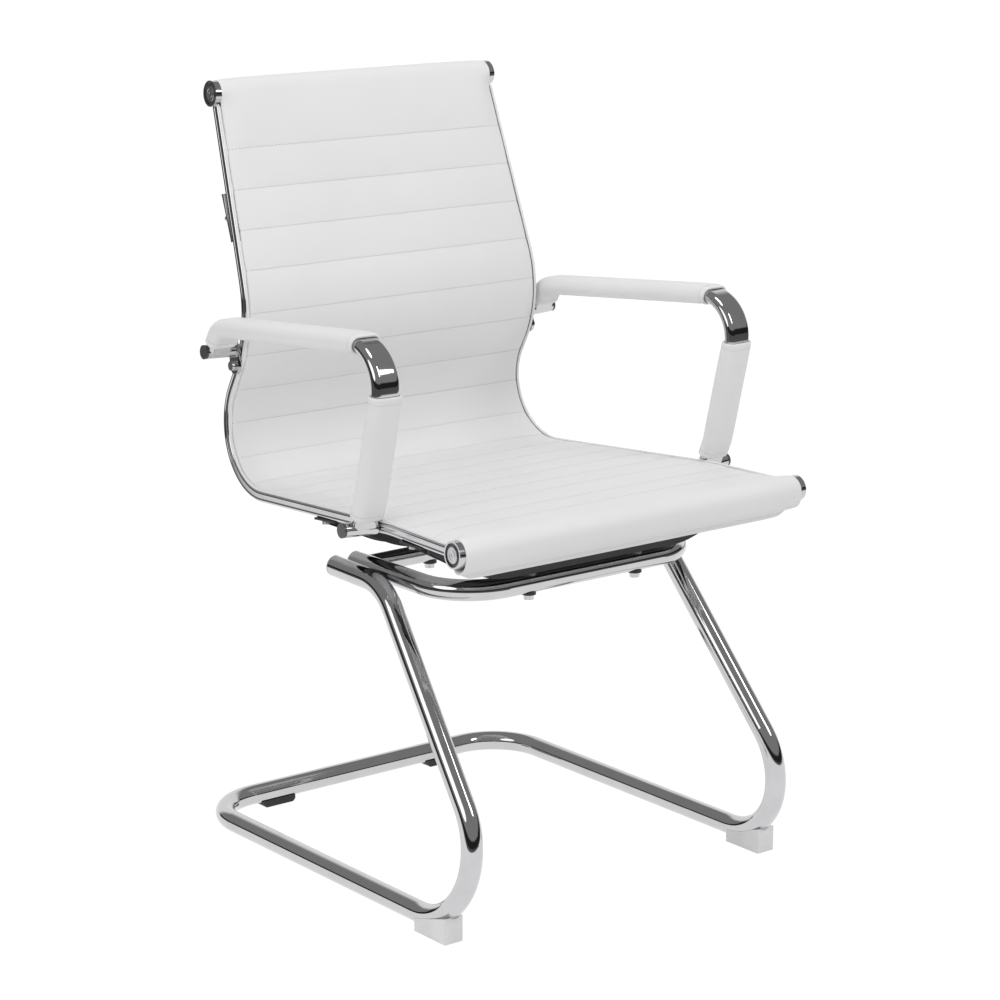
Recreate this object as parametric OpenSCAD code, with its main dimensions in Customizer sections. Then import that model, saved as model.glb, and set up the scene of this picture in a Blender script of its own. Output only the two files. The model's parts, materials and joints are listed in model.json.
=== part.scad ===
// Visitor chair with a cantilever base: two bright side rails hold a thin sewn sling,
// and a bent steel tube carries them from in front, so that the seat springs a little.
// The sitter faces -Y, +X is the sitter's left, and the floor is z = 0.

/* [Side rails] */
// Distance of a rail's plane from the middle, measured at the floor line
rail_spread = 251; // [232:1:270]
// Angle by which the rails open towards the front
rail_toe = 3.08; // [1:0.02:4]
// Angle by which the rails close towards the top
rail_tilt = 2.32; // [1:0.02:3]
// Depth of a rail, square to the sling
rail_depth = 12.4; // [11:0.2:16]
// Diameter of each of the two beads of a rail
rail_bead = 5.6; // [5:0.1:7]
// Height of the front cross tube above the floor
seat_h = 455; // [430:1:480]
// How far the front cross tube lies in front of the middle
seat_front = 272.5; // [255:0.5:295]
// Height of the corner of the bend under the thighs above the front cross tube
thigh_rise = 0.5; // [0:0.5:12]
// Place of the bend under the thighs, in front of the middle
thigh_front = 142; // [110:1:170]
// Distance of the corner of the hip bend below the front cross tube
hip_drop = 26.2; // [15:0.2:45]
// Place of the corner of the hip bend, behind the middle
hip_back = 281.5; // [260:0.5:295]
// Height of the corner of the lumbar bend, as a share of the way from seat to top
lumbar_share = 0.39064; // [0.3:0.001:0.5]
// Place of the corner of the lumbar bend, behind the middle
lumbar_back = 169.5; // [155:0.5:185]
// Height of the top cross tube above the floor
back_h = 901.7; // [860:0.1:960]
// Place of the top cross tube, behind the middle
back_back = 261; // [240:1:280]
// Radius of the bend under the thighs
thigh_bend = 300; // [200:10:400]
// Radius of the hip bend
hip_bend = 80; // [65:1:95]
// Radius of the lumbar bend
lumbar_bend = 137; // [110:1:160]
// Diameter of the round boss at each end of a rail
boss_d = 31; // [29:0.5:34]
// Width of a boss
boss_w = 8.5; // [7:0.5:12]
// How far the middle of a boss lies outside the middle of its rail
boss_out = 2.25; // [0:0.25:3]
// Depth of the ring sunk into a boss
boss_recess = 2.5; // [1.5:0.5:4]
// Width of the rim round that ring
boss_rim = 2; // [1.5:0.25:3]

/* [Cross tubes] */
// Diameter of the top and front cross tubes
cross_d = 20; // [16:1:22]
// Wall of the cross tubes
cross_wall = 1.5; // [1:0.25:2.5]
// Length of the plug in each end of a cross tube
plug_l = 20; // [15:1:28]
// Diameter of the screws that hold the cross tubes
end_screw_d = 8; // [6:0.5:9]

/* [Sling] */
// Thickness of the sling pad at the crown of a channel
sling_t = 8.8; // [7:0.2:11]
// Thickness of the sling pad at a sewn seam
seam_t = 4.6; // [3:0.2:6]
// Thickness of the cover where it wraps a cross tube
wrap_t = 7.4; // [5:0.2:8]
// Distance of the first seam below the top cross tube
first_seam = 70; // [60:1:90]
// Distance of the last seam behind the front cross tube
last_seam = 48.4; // [40:0.2:80]
// Number of sewn seams
seam_count = 18; // [10:1:18]
// Height of the middle of the sling over the middle of the rail
sling_lift = 6.6; // [4:0.2:7]
// How much the seams draw the sides in
side_draw = 1.4; // [0.5:0.1:3]
// Length of the hem that comes back behind each cross tube
hem_l = 56; // [40:1:70]
// How far the front roll hangs below the cover's snug path round the tube
roll_sag = 7; // [0:0.5:9]
// Height of the sewn lip that stands down behind the front roll
lip_h = 9; // [5:0.5:11]
// Diameter of the piping between the sling and each rail
piping_d = 4; // [3:0.5:5]

/* [Spreaders] */
// Width of the two seat spreaders, front to back
spreader_w = 40; // [30:1:55]
// Thickness of the pressed steel of the spreaders and the brace
spreader_t = 2.5; // [2:0.25:4]
// Depth of the turned-down edges of the seat spreaders
spreader_lip = 10; // [8:0.5:12]
// Place of the front spreader, in front of the middle
front_spreader_front = 186; // [180:1:215]
// Place of the rear spreader, in front of the middle
rear_spreader_front = 8; // [4:1:20]
// Height of the brace across the back
brace_w = 58; // [40:1:70]
// Distance of the brace below the top cross tube, along the rail
brace_below = 148; // [130:1:180]
// How far the brace bows away from the sling
brace_bow = 34; // [25:1:45]
// Diameter of the screws that hold the spreaders and the brace
rail_screw_d = 3; // [2:0.5:3.5]

/* [Base] */
// Diameter of the tube of the base and of the seat frame
tube_d = 25; // [22:1:27]
// Wall of the tube of the base, the seat frame and the rear crossbar
tube_wall = 2; // [1.5:0.25:3]
// Distance of the top of each leg from the middle
leg_half = 205; // [195:1:215]
// Distance of each floor tube from the middle
base_half = 237; // [225:1:250]
// Height of the middle of the floor tubes
floor_h = 18; // [17:0.5:24]
// How far the corner of the front bend lies in front of the middle
toe_front = 370; // [350:1:390]
// How far the rear bar lies behind the middle
bar_back = 264; // [250:1:285]
// Distance of the open top end of each leg below the front cross tube
leg_end_drop = 80; // [76:0.5:90]
// How far the open end of each leg lies behind the middle
leg_end_back = 15; // [12:1:30]
// How far the open ends of the seat frame lie behind the middle
frame_end_back = 9; // [8:1:24]
// Distance of the corner of the bend at the top of each leg below that cross tube
knee_drop = 82.5; // [78:0.5:92]
// How far the corner of that bend lies in front of the middle
knee_front = 80; // [65:1:95]
// Radius of the bend at the top of each leg
knee_bend = 68; // [50:1:85]
// Radius of the front bend near the floor
toe_bend = 87; // [75:1:100]
// Radius of the rear bends on the floor
rear_bend = 72; // [55:1:90]
// Height of the middle of the seat frame above the open leg ends
frame_rise = 2.5; // [1:0.5:6]
// How far the seat frame's crossbar lies in front of the middle
frame_front = 186; // [180:1:200]
// Radius of the two corners of the seat frame
frame_bend = 66; // [55:1:72]
// Diameter of the rear crossbar
rear_bar_d = 22; // [18:1:24]
// Distance of the two front frame bolts from the middle
bolt_half = 79; // [60:1:95]
// Distance of the two rear frame bolts from the middle
rear_bolt_half = 87; // [60:1:95]
// Diameter of the frame bolts
bolt_d = 8; // [6:0.5:9]

/* [Feet] */
// Length of each front foot
foot_l = 57; // [45:1:65]
// Distance of the back of each front foot from the middle
foot_back = 194; // [188:1:205]
// Height of a front foot at its back
foot_low = 15; // [13:0.5:17]
// Height of a front foot at its front
foot_high = 31; // [27:0.5:36]
// Length of each rear glide along the bar
glide_l = 47; // [40:1:60]
// Distance of the middle of each rear glide from the middle
glide_half = 129; // [100:1:140]
// Width of each rear glide
glide_w = 20; // [16:1:24]
// Diameter of the screws in the feet and glides
foot_screw_d = 5; // [4:0.5:6]

/* [Arms] */
// Distance of an arm's plane from the middle, at the middle of the chair
arm_spread = 256; // [253:0.5:262]
// Angle by which the arms open towards the front
arm_toe = 2.35; // [1.8:0.05:2.8]
// Angle by which the arms close towards the top
arm_tilt = 0.4; // [0.2:0.1:0.6]
// Width of the flat oval arm tube
arm_w = 34.4; // [30:0.2:37]
// Thickness of the flat oval arm tube
arm_t = 14.8; // [13:0.2:17]
// Wall of the arm tube
arm_wall = 1.5; // [1:0.1:2]
// Radius of the big bend at the front of an arm
arm_bend = 47; // [38:1:55]
// Radius of the bend at the back end of an arm
arm_rear_bend = 26; // [22:1:32]
// Radius of the bend at the foot of the arm post
arm_foot_bend = 30; // [25:1:36]
// Height of the corner of the big bend
arm_h = 669; // [650:1:690]
// Diameter of the bracket tubes that carry an arm
bracket_d = 17; // [15:0.5:19]
// Diameter of the arm bolts
arm_bolt_d = 6; // [5:0.5:6.5]
// Thickness of the stitched sleeves on the arms
sleeve_t = 3; // [1.5:0.1:3.4]

/* [Hidden] */

$fn = 48;
// Sides of the bosses and their screws, and of a whole turn of a bend
boss_fn = 64;
bend_fn = 96;
full_turn = 360;
half_turn = 180;
// Running gap between pieces that only touch, and overrun of every cut
gap = 0.2;
over = 1;
// Gap round the soft pieces
soft_gap = 0.4;

// The box round the chair has its middle over the origin
front_face = -(seat_front + boss_d / 2);
rear_face = bar_back + tube_d / 2;
centre_shift = -(front_face + rear_face) / 2;

// Side line of a rail from the front boss to the top boss, as places behind and above
rail_line = [
    [-seat_front, seat_h],
    [-thigh_front, seat_h + thigh_rise],
    [hip_back, seat_h - hip_drop],
    [lumbar_back, seat_h + lumbar_share * (back_h - seat_h)],
    [back_back, back_h]
];
rail_bends = [0, thigh_bend, hip_bend, lumbar_bend, 0];
bead_offset = (rail_depth - rail_bead) / 2;
web_share = 0.74;
rail_side = rail_bead / 2;
boss_inner = boss_w / 2 - boss_out;
boss_outer = boss_w / 2 + boss_out;
plug_d = cross_d - 2 * cross_wall - gap;
end_head_d = boss_d - 2 * boss_rim - 4 * gap;
end_head_t = 1.2;
ring_step_t = 0.5;
ring_shares = [0.94, 0.66, 0.52, 0.24];
cap_share = 0.7;
boss_ring_t = 0.8;

// Straights and bends of a line of points, with a bend radius for each point
function heading(a, b) = atan2(b[1] - a[1], b[0] - a[0]);
function wrapped(t) = t > half_turn ? t - full_turn : t < -half_turn ? t + full_turn : t;
function turn_at(p, i) =
    i == 0 || i == len(p) - 1 ? 0 : wrapped(heading(p[i], p[i + 1]) - heading(p[i - 1], p[i]));
function cut_at(p, r, i) = r[i] * tan(abs(turn_at(p, i)) / 2);
function ahead(a) = [cos(a), sin(a)];
function beside(a) = [-sin(a), cos(a)];
function run_start(p, r, i) = p[i] + cut_at(p, r, i) * ahead(heading(p[i], p[i + 1]));
function run_length(p, r, i) = norm(p[i + 1] - p[i]) - cut_at(p, r, i) - cut_at(p, r, i + 1);
function arc_length(p, r, i) = r[i] * abs(turn_at(p, i)) * PI / half_turn;
function line_length(p, r, i = 0) =
    i > len(p) - 2 ? 0 : run_length(p, r, i) + arc_length(p, r, i + 1) + line_length(p, r, i + 1);
// Place and heading at a length along such a line
function station(p, r, s, i = 0) =
    let (
        a = heading(p[i], p[i + 1]),
        run = run_length(p, r, i),
        start = run_start(p, r, i)
    )
    s <= run || i == len(p) - 2 ? [each start + s * ahead(a), a] :
    let (
        side = sign(turn_at(p, i + 1)),
        rest = s - run,
        centre = start + run * ahead(a) + side * r[i + 1] * beside(a),
        b = a + side * rest / r[i + 1] * half_turn / PI
    )
    rest <= arc_length(p, r, i + 1) ? [each centre - side * r[i + 1] * beside(b), b] :
    station(p, r, rest - arc_length(p, r, i + 1), i + 1);
// The same line with its two ends cut back
function shortened(p, a, b) = let (n = len(p) - 1) [
    for (i = [0:n])
        i == 0 ? p[0] + a * ahead(heading(p[0], p[1])) :
        i == n ? p[n] - b * ahead(heading(p[n - 1], p[n])) : p[i]
];

rail_length = line_length(rail_line, rail_bends);

// Place in the chair of a point of the right rail's plane, and back from there
function rail_y(y, z) = y * cos(rail_toe) - z * sin(rail_tilt) * sin(rail_toe);
function rail_z(z) = z * cos(rail_tilt);
function rail_x(y, z) =
    rail_spread - y * sin(rail_toe) - z * sin(rail_tilt) * cos(rail_toe);
// Distance from the middle of a plane that lies inside the rail's plane by a given length
function inside_rail(y, z, inset) =
    rail_spread - tan(rail_toe) * y
    - (inset + z * sin(rail_tilt)) / (cos(rail_tilt) * cos(rail_toe));

// Runs and bends of a swept bar are joined by fine bands, a hair proud of the bar all round
band_l = 0.4;
band_gap = 0.02;
band_grow = 0.02;

module band(at, a) {
    translate(at) rotate(a) rotate([90, 0, 90]) linear_extrude(band_l, center = true) children();
}

// A section swept along a line that lies in the XY plane; its X points to the line's left.
// The first child is the section, and the second is the same section grown for the bands.
module planar_sweep(p, r) {
    for (i = [0:len(p) - 2])
        translate(run_start(p, r, i) + (i > 0 ? band_gap : 0) * ahead(heading(p[i], p[i + 1])))
            rotate(heading(p[i], p[i + 1]))
                rotate([90, 0, 90])
                    linear_extrude(
                        run_length(p, r, i) - (i > 0 ? band_gap : 0) - (i < len(p) - 2 ? band_gap : 0)
                    )
                        children(0);
    for (i = [1:len(p) - 2]) {
        a = heading(p[i - 1], p[i]);
        b = heading(p[i], p[i + 1]);
        turn = turn_at(p, i);
        start = p[i] - cut_at(p, r, i) * ahead(a);
        translate(start + sign(turn) * r[i] * beside(a))
            rotate(turn > 0 ? a - 90 : a + 90 + turn)
                rotate_extrude(angle = abs(turn), $fn = bend_fn)
                    translate([r[i], 0])
                        mirror([turn > 0 ? 1 : 0, 0])
                            children(0);
        band(start, a) children(1);
        band(run_start(p, r, i), b) children(1);
    }
}

// Corners of a round tube bent in space
function unit(v) = v / norm(v);
function way(p, i) = unit(p[i + 1] - p[i]);
function space_turn(p, i) = i == 0 || i == len(p) - 1 ? 0 : acos(way(p, i - 1) * way(p, i));
function space_cut(p, r, i) = r[i] * tan(space_turn(p, i) / 2);

// Moves the Z axis onto a direction, with the origin at a point
module aimed(at, v) {
    translate(at) rotate([0, acos(v[2] / norm(v)), atan2(v[1], v[0])]) children();
}

// The same for a round tube in space
module space_sweep(p, r) {
    for (i = [0:len(p) - 2])
        aimed(p[i] + (space_cut(p, r, i) + (i > 0 ? band_gap : 0)) * way(p, i), way(p, i))
            linear_extrude(
                norm(p[i + 1] - p[i]) - space_cut(p, r, i) - space_cut(p, r, i + 1)
                - (i > 0 ? band_gap : 0) - (i < len(p) - 2 ? band_gap : 0)
            )
                children(0);
    for (i = [1:len(p) - 2]) {
        d = way(p, i - 1);
        axis = unit(cross(d, way(p, i)));
        inward = cross(axis, d);
        start = p[i] - space_cut(p, r, i) * d;
        c = start + r[i] * inward;
        multmatrix([
            [-inward[0], d[0], axis[0], c[0]],
            [-inward[1], d[1], axis[1], c[1]],
            [-inward[2], d[2], axis[2], c[2]],
            [0, 0, 0, 1]
        ])
            rotate_extrude(angle = space_turn(p, i), $fn = bend_fn)
                translate([r[i], 0])
                    children(0);
        aimed(start, d) linear_extrude(band_l, center = true) children(1);
        aimed(p[i] + space_cut(p, r, i) * way(p, i), way(p, i))
            linear_extrude(band_l, center = true)
                children(1);
    }
}

module pipe_section(d, wall, grow = 0) {
    difference() {
        circle(d = d + 2 * grow);
        circle(d = d - 2 * wall - 2 * grow);
    }
}

// A round bar along X between two distances from the middle
module bar_x(from, to, d) {
    translate([from, 0, 0]) rotate([0, 90, 0]) cylinder(d = d, h = to - from);
}

module both_sides() {
    children();
    mirror([1, 0, 0]) children();
}

// Puts a drawing in the XY plane into the right rail's plane, with its Z pointing outwards
module in_rail_plane() {
    translate([rail_spread, 0, 0])
        rotate([0, -rail_tilt, rail_toe])
            rotate([90, 0, 90])
                children();
}

module rail_section(grow = 0) {
    for (s = [-1, 1])
        translate([s * bead_offset, 0])
            rotate(90 + 90 * s)
                circle(d = rail_bead + 2 * grow);
    square([2 * bead_offset, web_share * (rail_bead + 2 * grow)], center = true);
}

// Places of the screws and brackets along the rail
function screw_station(s) = station(rail_line, rail_bends, s);
function station_at_y(y) =
    let (far = run_length(rail_line, rail_bends, 0) + arc_length(rail_line, rail_bends, 1))
    y <= rail_line[1][0] ? y - rail_line[0][0] :
    far + norm([y, rail_height(y)] - run_start(rail_line, rail_bends, 1));
// Height of the straight under the seat at a place behind the middle
function rail_height(y) =
    rail_line[1][1] + (rail_line[2][1] - rail_line[1][1])
    * (y - rail_line[1][0]) / (rail_line[2][0] - rail_line[1][0]);
brace_station = rail_length - brace_below;
front_spreader_station = seat_front - front_spreader_front;
rear_spreader_station = station_at_y(-rear_spreader_front);
screw_stations = [front_spreader_station, rear_spreader_station, brace_station];

// Brackets that carry an arm: the front one on the rail, the rear one on a lug behind it
front_bracket_front = 115;
front_bracket_at = [-front_bracket_front, rail_height(-front_bracket_front)];
lug_t = 4;
lug_w = 20;
// How far the lug lies below the corner of the arm's big bend
lug_drop = 82.8;
// Where the rear bracket lies from the lug's bolt
bracket_from_lug = [2.4, 18.6];
// Place along the rail that lies about as high as a given point of its plane
function station_at_h(h, s) =
    let (q = station(rail_line, rail_bends, s))
    q[1] >= h ? s : station_at_h(h, s + station_step);
station_step = 0.5;
lug_station = station_at_h(arm_h - lug_drop, rail_length / 2);
rear_lug_at = let (q = station(rail_line, rail_bends, lug_station)) [q[0], q[1]];
rear_bracket_at = rear_lug_at + bracket_from_lug;
front_bracket_reach = 42;
rear_bracket_reach = 41.5;
counterbore_d = 12;
counterbore_l = 12;
bolt_cap_t = 3;

// Drills along the normal of the rail's plane
module rail_cross_hole(at, d) {
    translate(at) cylinder(d = d, h = rail_bead + 2 * over, center = true);
}

// Drills square to the sling, from the underside of the rail to its middle
module rail_under_hole(s, d) {
    q = screw_station(s);
    translate([q[0], q[1]]) rotate(q[2] - 90) rotate([0, 90, 0]) cylinder(d = d, h = rail_depth);
}

module boss_blank() {
    translate([0, 0, -boss_inner]) cylinder(d = boss_d, h = boss_w, $fn = boss_fn);
}

module boss_cuts() {
    translate([0, 0, boss_outer - boss_recess])
        cylinder(d = boss_d - 2 * boss_rim, h = boss_recess + over, $fn = boss_fn);
    translate([0, 0, -boss_inner - over])
        cylinder(d = end_screw_d + 2 * gap, h = boss_w + 2 * over);
}

module right_rail() {
    in_rail_plane()
        difference() {
            union() {
                planar_sweep(rail_line, rail_bends) {
                    rail_section();
                    rail_section(band_grow);
                }
                for (i = [0, len(rail_line) - 1]) translate(rail_line[i]) boss_blank();
            }
            for (i = [0, len(rail_line) - 1]) translate(rail_line[i]) boss_cuts();
            rail_cross_hole(front_bracket_at, arm_bolt_d + 2 * gap);
            rail_cross_hole(rear_lug_at, arm_bolt_d + 2 * gap);
            for (s = screw_stations) rail_under_hole(s, rail_screw_d + 2 * gap);
        }
}

module side_rail_right() { color("silver") right_rail(); }
module side_rail_left() { color("silver") mirror([1, 0, 0]) right_rail(); }

// Middle of a cross tube, which runs from boss to boss
function rail_end(i) = [rail_y(rail_line[i][0], rail_line[i][1]), rail_z(rail_line[i][1])];
function rail_end_x(i) = rail_x(rail_line[i][0], rail_line[i][1]);

// Takes away all that lies outside the inner faces of the bosses
module between_rails(inset) {
    difference() {
        children();
        both_sides()
            in_rail_plane()
                translate([-seat_front - boss_d, 0, -inset])
                    cube([seat_front + back_back + 2 * boss_d, back_h + boss_d, boss_d]);
    }
}

module cross_tube(i) {
    between_rails(boss_inner + gap)
        translate([0, rail_end(i)[0], rail_end(i)[1]])
            difference() {
                bar_x(-rail_end_x(i), rail_end_x(i), cross_d);
                bar_x(-rail_spread, rail_spread, cross_d - 2 * cross_wall);
            }
}

module top_cross_tube() { color("silver") cross_tube(len(rail_line) - 1); }
module front_cross_tube() { color("silver") cross_tube(0); }

// The plug ends a little inside the tube, and its thread takes the end screw
plug_sink = 0.5;
module end_plug(i) {
    in_rail_plane()
        translate([each rail_line[i], -boss_inner - plug_sink - plug_l])
            difference() {
                cylinder(d = plug_d - plug_play(), h = plug_l);
                translate([0, 0, -over]) cylinder(d = end_screw_d + gap, h = plug_l + 2 * over);
            }
}
// Room that a plug square to the boss needs inside a tube square to the middle
function plug_play() =
    2 * (boss_inner + plug_sink + plug_l) * norm([tan(rail_toe), tan(rail_tilt)]);

module cross_tube_plugs() {
    color("dimgray") both_sides() for (i = [0, len(rail_line) - 1]) end_plug(i);
}

// Round head in the boss with turned rings, and a threaded shank
screw_cap_d = cap_share * end_head_d;
module end_screw(i) {
    face = boss_outer - boss_recess;
    into = boss_inner + plug_sink + plug_l / 2;
    in_rail_plane()
        translate([each rail_line[i], face + boss_ring_t + gap]) {
            cylinder(d = screw_cap_d, h = end_head_t, $fn = boss_fn);
            for (k = [0, 2])
                difference() {
                    cylinder(d = screw_cap_d * ring_shares[k], h = end_head_t + ring_step_t, $fn = boss_fn);
                    translate([0, 0, -over])
                        cylinder(
                            d = screw_cap_d * ring_shares[k + 1],
                            h = end_head_t + ring_step_t + 2 * over,
                            $fn = boss_fn
                        );
                }
            translate([0, 0, -face - into])
                cylinder(d = end_screw_d, h = face + into + end_head_t / 2);
        }
}

module rail_end_screws() {
    color("silver") both_sides() for (i = [0, len(rail_line) - 1]) end_screw(i);
}

// Dark ring on the floor of each boss
module boss_ring(i) {
    in_rail_plane()
        translate([each rail_line[i], boss_outer - boss_recess + gap / 2])
            difference() {
                cylinder(d = end_head_d, h = boss_ring_t, $fn = boss_fn);
                translate([0, 0, -over]) cylinder(d = end_screw_d + 2 * gap, h = boss_ring_t + 2 * over);
            }
}

module boss_rings() {
    color("dimgray") both_sides() for (i = [0, len(rail_line) - 1]) boss_ring(i);
}

// The sling pad is one closed skin: rings of points across the chair, from the hem under the
// front cross tube over the seat and the back to the hem behind the top cross tube
wrap_r = cross_d / 2 + soft_gap + wrap_t / 2;
ease_l = 120;
hem_t = 3;
channel_pitch = (rail_length - first_seam - last_seam) / (seam_count - 1);
function smooth(t) = let (k = min(1, max(0, t))) k * k * (3 - 2 * k);
function mix(a, b, t) = a + (b - a) * t;
function end_distance(s) = min(s, rail_length - s);
function lift_at(s) = mix(wrap_r, sling_lift, smooth(end_distance(s) / ease_l));
// Shares of the way between two seams at which the skin has a ring, and the crown there
puff_places_share = [0, 0.12, 0.5, 0.88];
puff_crown_share = [0, 0.66, 1, 0.66];
panel_places_share = [0.16, 0.5, 0.85];
seams = [for (k = [0:seam_count - 1]) last_seam + k * channel_pitch];
// Each ring is [place, lift, turn of its normal, thickness, drawing in of the sides]
function face_ring(s, crown_share) = [
    s, lift_at(s), 0,
    mix(seam_t, mix(wrap_t, sling_t, smooth(end_distance(s) / ease_l)), crown_share),
    side_draw * (1 - crown_share)
];
wrap_steps = 6;
hem_places_share = [1, 0.55, 0.2];
function hem_lift(s, sag) = mix(
    wrap_r + sag, (hem_t + sling_t) / 2 + soft_gap - lift_at(s), smooth(end_distance(s) / hem_l)
);
function hem_ring(s, sag) = [s, hem_lift(s, sag), half_turn, hem_t, side_draw];
// A ring round a cross tube; the lower half of the front roll sags
function wrap_ring(s, turn, sag) =
    [s, wrap_r + sag * smooth(2 * abs(turn) / half_turn - 1), turn, wrap_t, 0];
// The lip starts a little behind the roll and stops short of the sides
lip_back = 5;
lip_short = 9;
lip_ring =
    [lip_back, wrap_r + roll_sag + wrap_t / 2 + lip_h - hem_t / 2, half_turn, hem_t, lip_short];
rings = [
    for (k = hem_places_share) hem_ring(k * hem_l, roll_sag),
    lip_ring,
    for (k = [wrap_steps:-1:0]) wrap_ring(0, half_turn * k / wrap_steps, roll_sag),
    for (k = panel_places_share) face_ring(k * last_seam, 1),
    for (i = [0:seam_count - 2])
        for (k = [0:len(puff_places_share) - 1])
            face_ring(seams[i] + puff_places_share[k] * channel_pitch, puff_crown_share[k]),
    face_ring(seams[seam_count - 1], 0),
    for (k = panel_places_share) face_ring(rail_length - (1 - k) * first_seam, 1),
    for (k = [0:wrap_steps]) wrap_ring(rail_length, -half_turn * k / wrap_steps, 0),
    for (k = [len(hem_places_share) - 1:-1:0])
        hem_ring(rail_length - hem_places_share[k] * hem_l, 0)
];
// Shares of the half width and of the half thickness round one ring
ring_width_share = [-1, -0.965, -0.6, 0, 0.6, 0.965, 1, 0.965, 0.6, 0, -0.6, -0.965];
ring_height_share = [0, 0.7, 0.98, 1, 0.98, 0.7, 0, -0.7, -1, -1, -1, -0.7];
// Beyond the middle of a boss, the sides widen over this length from boss to rail
widen_before = 2;
widen_l = 8;
function edge_inset(s) =
    mix(boss_inner + soft_gap, rail_side + soft_gap,
        smooth((end_distance(s) - boss_d / 2 + widen_before) / widen_l));
function ring_point(ring, k) =
    let (
        q = station(rail_line, rail_bends, ring[0]),
        out = beside(q[2] + ring[2]),
        at = [q[0], q[1]] + (ring[1] + ring_height_share[k] * ring[3] / 2) * out,
        y = rail_y(at[0], at[1]),
        z = rail_z(at[1])
    )
    [ring_width_share[k] * (inside_rail(y, z, edge_inset(ring[0])) - ring[4]), y, z];

module ribbon(rows, n) {
    m = len(rows);
    polyhedron(
        points = [for (row = rows) each row],
        faces = [
            for (i = [0:m - 2]) for (k = [0:n - 1]) each [
                [i * n + k, (i + 1) * n + k, i * n + (k + 1) % n],
                [i * n + (k + 1) % n, (i + 1) * n + k, (i + 1) * n + (k + 1) % n]
            ],
            for (k = [1:n - 2]) [0, k, k + 1],
            for (k = [1:n - 2]) [(m - 1) * n, (m - 1) * n + k + 1, (m - 1) * n + k]
        ]
    );
}

module sling_pad() {
    n = len(ring_width_share);
    color("whitesmoke") ribbon([for (ring = rings) [for (k = [0:n - 1]) ring_point(ring, k)]], n);
}

// Piping that lies on the rail along the edge of the sling, from boss to boss
piping_from_boss = 8;
piping_end = boss_d / 2 + piping_from_boss;
piping_in = 0.6;
piping_lift = rail_depth / 2 + gap + piping_d / 2;
module right_piping() {
    in_rail_plane()
        translate([0, 0, -piping_in])
            planar_sweep(shortened(rail_line, piping_end, piping_end), rail_bends) {
                translate([piping_lift, 0]) circle(d = piping_d);
                translate([piping_lift, 0]) circle(d = piping_d + 2 * band_grow);
            }
}

module edge_piping_right() { color("whitesmoke") right_piping(); }
module edge_piping_left() { color("whitesmoke") mirror([1, 0, 0]) right_piping(); }

// Puts a drawing in the XY plane across the chair at a length along the rails:
// its X stays across the chair and its Y points to the sitter
module across_at(s) {
    q = station(rail_line, rail_bends, s);
    translate([0, rail_y(q[0], q[1]), rail_z(q[1])])
        rotate([q[2], 0, 0])
            rotate([90, 0, 0])
                children();
}

// Pressed strip with turned edges, laid under both rails and bowed away between them
tab_past = 1;
tab_inner = 14;
strip_bend = 14;
bow_bend = 110;
strip_bends = [0, strip_bend, bow_bend, bow_bend, strip_bend, 0];
seat_bow_width = 82;
brace_bow_width = 75;
function rail_x_at(s) = let (q = station(rail_line, rail_bends, s)) rail_x(q[0], q[1]);
function strip_line(s, bow, bow_width) = let (
    x = rail_x_at(s),
    tab = -(rail_depth / 2 + gap + spreader_t / 2),
    outer = x + rail_side + tab_past,
    knee = x - tab_inner,
    flat = x - tab_inner - bow_width
) [[-outer, tab], [-knee, tab], [-flat, tab - bow], [flat, tab - bow], [knee, tab], [outer, tab]];

module strip_section(w, lip, grow = 0) {
    square([spreader_t + 2 * grow, w], center = true);
    for (k = [-1, 1])
        translate([(spreader_t - lip) / 2, k * (w - spreader_t) / 2])
            square([lip + 2 * grow, spreader_t + 2 * grow], center = true);
}

module strip(s, bow, bow_width, w, lip) {
    difference() {
        across_at(s)
            planar_sweep(strip_line(s, bow, bow_width), strip_bends) {
                strip_section(w, lip);
                strip_section(w, lip, band_grow);
            }
        both_sides() {
            strip_screw_hole(s);
            strip_tab_room(s, w, lip);
        }
        children();
    }
}

// The turned edges end where a strip meets the rail
module strip_tab_room(s, w, lip) {
    low = rail_depth / 2 + spreader_t + 2 * gap;
    across_at(s)
        translate([rail_x_at(s) - tab_inner + strip_bend / 2, -low - lip, -w / 2 - over])
            cube([2 * tab_inner, lip, w + 2 * over]);
}

module strip_screw_hole(s) {
    across_at(s)
        translate([rail_x_at(s), -rail_depth / 2 - spreader_t - over, 0])
            rotate([-90, 0, 0])
                cylinder(d = rail_screw_d + 2 * gap, h = spreader_t + 2 * over);
}

// Heights of the frame and how far the seat spreaders bow down onto it
leg_end_h = seat_h - leg_end_drop;
knee_h = seat_h - knee_drop;
frame_h = leg_end_h + frame_rise;
spacer_h = 11;
saddle_t = 1.6;
web_h = frame_h + tube_d / 2 + spacer_h + spreader_t / 2;
function bow_to_frame(s) = let (q = station(rail_line, rail_bends, s))
    (rail_z(q[1]) - web_h) / cos(q[2]) - (rail_depth / 2 + gap + spreader_t / 2);
rear_spreader_y = let (q = station(rail_line, rail_bends, rear_spreader_station)) rail_y(q[0], q[1]);

// Where the frame bolts go: [place along X, place along Y, diameter of the tube there]
front_bolt = [bolt_half, -frame_front, tube_d];
rear_bolt = [rear_bolt_half, rear_spreader_y, rear_bar_d];

module bolt_holes(b) {
    both_sides()
        translate([b[0], b[1], 0])
            cylinder(d = bolt_d + 2 * gap, h = web_h + spreader_lip);
}

module seat_strip(s) {
    strip(s, bow_to_frame(s), seat_bow_width, spreader_w, spreader_lip) children();
}

module front_seat_spreader() {
    color("black")
        seat_strip(front_spreader_station)
            bolt_holes(front_bolt);
}

module rear_seat_spreader() {
    color("black")
        seat_strip(rear_spreader_station)
            bolt_holes(rear_bolt);
}

brace_lip = 6;
module back_brace() {
    color("silver") strip(brace_station, brace_bow, brace_bow_width, brace_w, brace_lip);
}

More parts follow.
